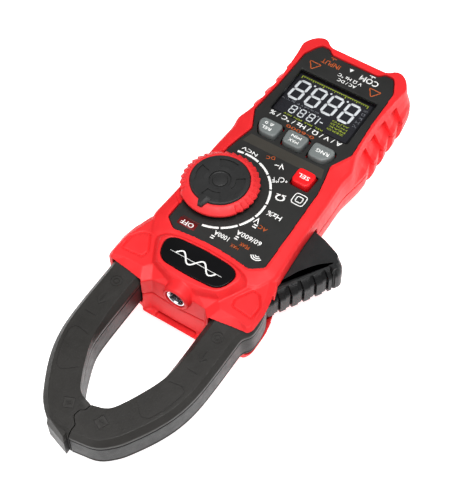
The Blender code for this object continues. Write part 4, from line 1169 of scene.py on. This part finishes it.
def make_sockets(finish):
    for node, x in (("common_socket", -SOCKET_X), ("input_socket", SOCKET_X)):
        start = span(node, 1)[0] + STATION
        sleeve = turned(node.replace("socket", "jack"), SLEEVE, (x, start, SOCKET_HEIGHT), "+Y", 48)
        settle(sleeve, finish["grip"], "case", [node])


def make_torch(finish):
    start = span("torch_lens", 1)[0] + STATION + 0.2
    lens = turned("torch_glass", LENS, (0, start, TORCH_AXIS), "+Y", 40)
    settle(lens, finish["glass"], "case", ["torch_lens"])
    ring = turned("torch_ring", LENS_RING, (0, start, TORCH_AXIS), "+Y", 40)
    settle(ring, finish["chrome"], "case")
    reflector = turned("torch_reflector", REFLECTOR, (0, start - 0.5, TORCH_AXIS), "+Y", 32)
    settle(reflector, finish["chrome"], "case")


def make_door(finish):
    low, high = span("battery_door")
    x0, x1 = span("battery_door", 0)
    s0, s1 = (value + STATION for value in span("battery_door", 1))
    outline = rounded(rectangle(x0, x1, s0, s1), 1.0, 3)
    door = crowned("bay_door", outline, low, high, 0.3, 2, foot=0.35)
    screw = middle("door_screw")
    cutters = [turned("door_well", DOOR_WELL, (*screw, -0.1), sides=24),
               prism("door_way", circle(screw, 1.5, 16), -1.0, 3.0)]
    for i in range(4):
        groove = rectangle(-6.0, 6.0, 18.0 + 1.6 * i, 18.7 + 1.6 * i)
        cutters.append(prism("thumb_groove", rounded(groove, 0.3, 2), -1.0, 0.4))
    cut(door, *cutters)
    settle(door, finish["red"], "case", ["battery_door"])


def dress_cad_nodes(finish):
    """Better materials on the CAD nodes that are shown as they are."""
    looks = {
        "steel": ("door_screw", "pivot_pin", "return_spring", "spring_contact", "flat_contact", "detent_ball",
                  *[f"case_screw_{i}" for i in range(1, 6)]),
        "core": ("fixed_core", "moving_core"),
        "brass": ("sense_coil", "voltage_antenna", "common_contact", "input_contact", "wiper_contact"),
        "board": ("main_board",), "cell": ("battery_1", "battery_2", "battery_3"),
        "cream": ("knob_rotor", "backlight_panel", "torch_led", "range_switch", "max_min_switch",
                  "relative_switch", "function_switch"),
        "face": ("buzzer", "hall_sensor"), "grip": ("contact_strip",), "lcd": ("lcd_panel",),
        "glass": ("display_window",)}
    for look, nodes in looks.items():
        for node in nodes:
            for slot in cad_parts[node].material_slots:
                slot.material = finish[look]


# ---------------------------------------------------------------- stage, light and camera

def make_stage():
    bm = bmesh.new()
    bmesh.ops.create_grid(bm, x_segments=8, y_segments=8, size=3.0)
    floor = linked("floor", mesh_of("floor", bm))
    look, tree, shader = material("pale_floor", (0.9, 0.9, 0.9), 0.9, **lit(WHITE_LIGHT, 0.7))
    plug(shader, {"Roughness": ranged(tree, noise_of(tree, 4.0), 0.85, 0.95)})
    floor.data.materials.append(look)


def make_studio():
    """White surroundings, brighter on the lever's side."""
    world = bpy.data.worlds.new("studio")
    world.use_nodes = True
    tree = world.node_tree
    direction = wire(tree, "ShaderNodeTexCoord", {}).outputs["Generated"]
    across = wire(tree, "ShaderNodeSeparateXYZ", {"Vector": direction}).outputs["X"]
    plug(tree.nodes["Background"], {"Color": (*WHITE_LIGHT, 1.0),
                                    "Strength": ranged(tree, across, 0.24, 0.12, -0.8, 0.8)})
    scene = bpy.context.scene
    scene.world = world
    scene.view_settings.view_transform = "Standard"
    scene.view_settings.look = "Medium High Contrast"


def softbox(name, place, aim, size, power):
    lamp = bpy.data.lights.new(name, "AREA")
    lamp.shape = "RECTANGLE"
    lamp.size, lamp.size_y = size
    lamp.energy = power
    made = linked(name, lamp)
    made.location = place
    made.rotation_euler = (Vector(aim) - Vector(place)).to_track_quat("-Z", "Y").to_euler()


def make_lights():
    softbox("key_light", (-0.12, 0.1, 0.92), (0, 0.02, 0.02), (0.7, 0.6), 7.2)
    softbox("side_light", (-0.75, 0.15, 0.4), (0, 0.04, 0.02), (0.5, 0.5), 0.3)
    softbox("front_light", (0.2, 0.8, 0.42), (0, 0.06, 0.02), (0.6, 0.3), 1.2)


def make_camera():
    """The camera: its right, down and forward axes, its lens and its place."""
    right = Vector((-0.83578504, -0.54872353, -0.01912739))
    down = Vector((-0.44835526, 0.70218927, -0.55308932))
    forward = Vector((0.31692417, -0.45368792, -0.83290236))
    lens = bpy.data.cameras.new("camera")
    lens.lens = 92.95
    lens.clip_start, lens.clip_end = 0.01, 10.0
    turn = Matrix((right, -down, -forward)).transposed().to_4x4()
    turn.translation = at(-185.22, 330.09, FACE + 470.86)
    camera = linked("camera", lens)
    camera.matrix_world = turn
    bpy.context.scene.camera = camera


def main():
    finish = make_materials()
    make_front_case(finish["red"])
    make_rear_case(finish["red"])
    for make in (make_face, make_display, make_keys, make_print, make_badge, make_knob, make_jaws, make_lever,
                 make_sockets, make_torch, make_door, dress_cad_nodes):
        make(finish)
    make_stage()
    make_studio()
    make_lights()
    make_camera()


main()
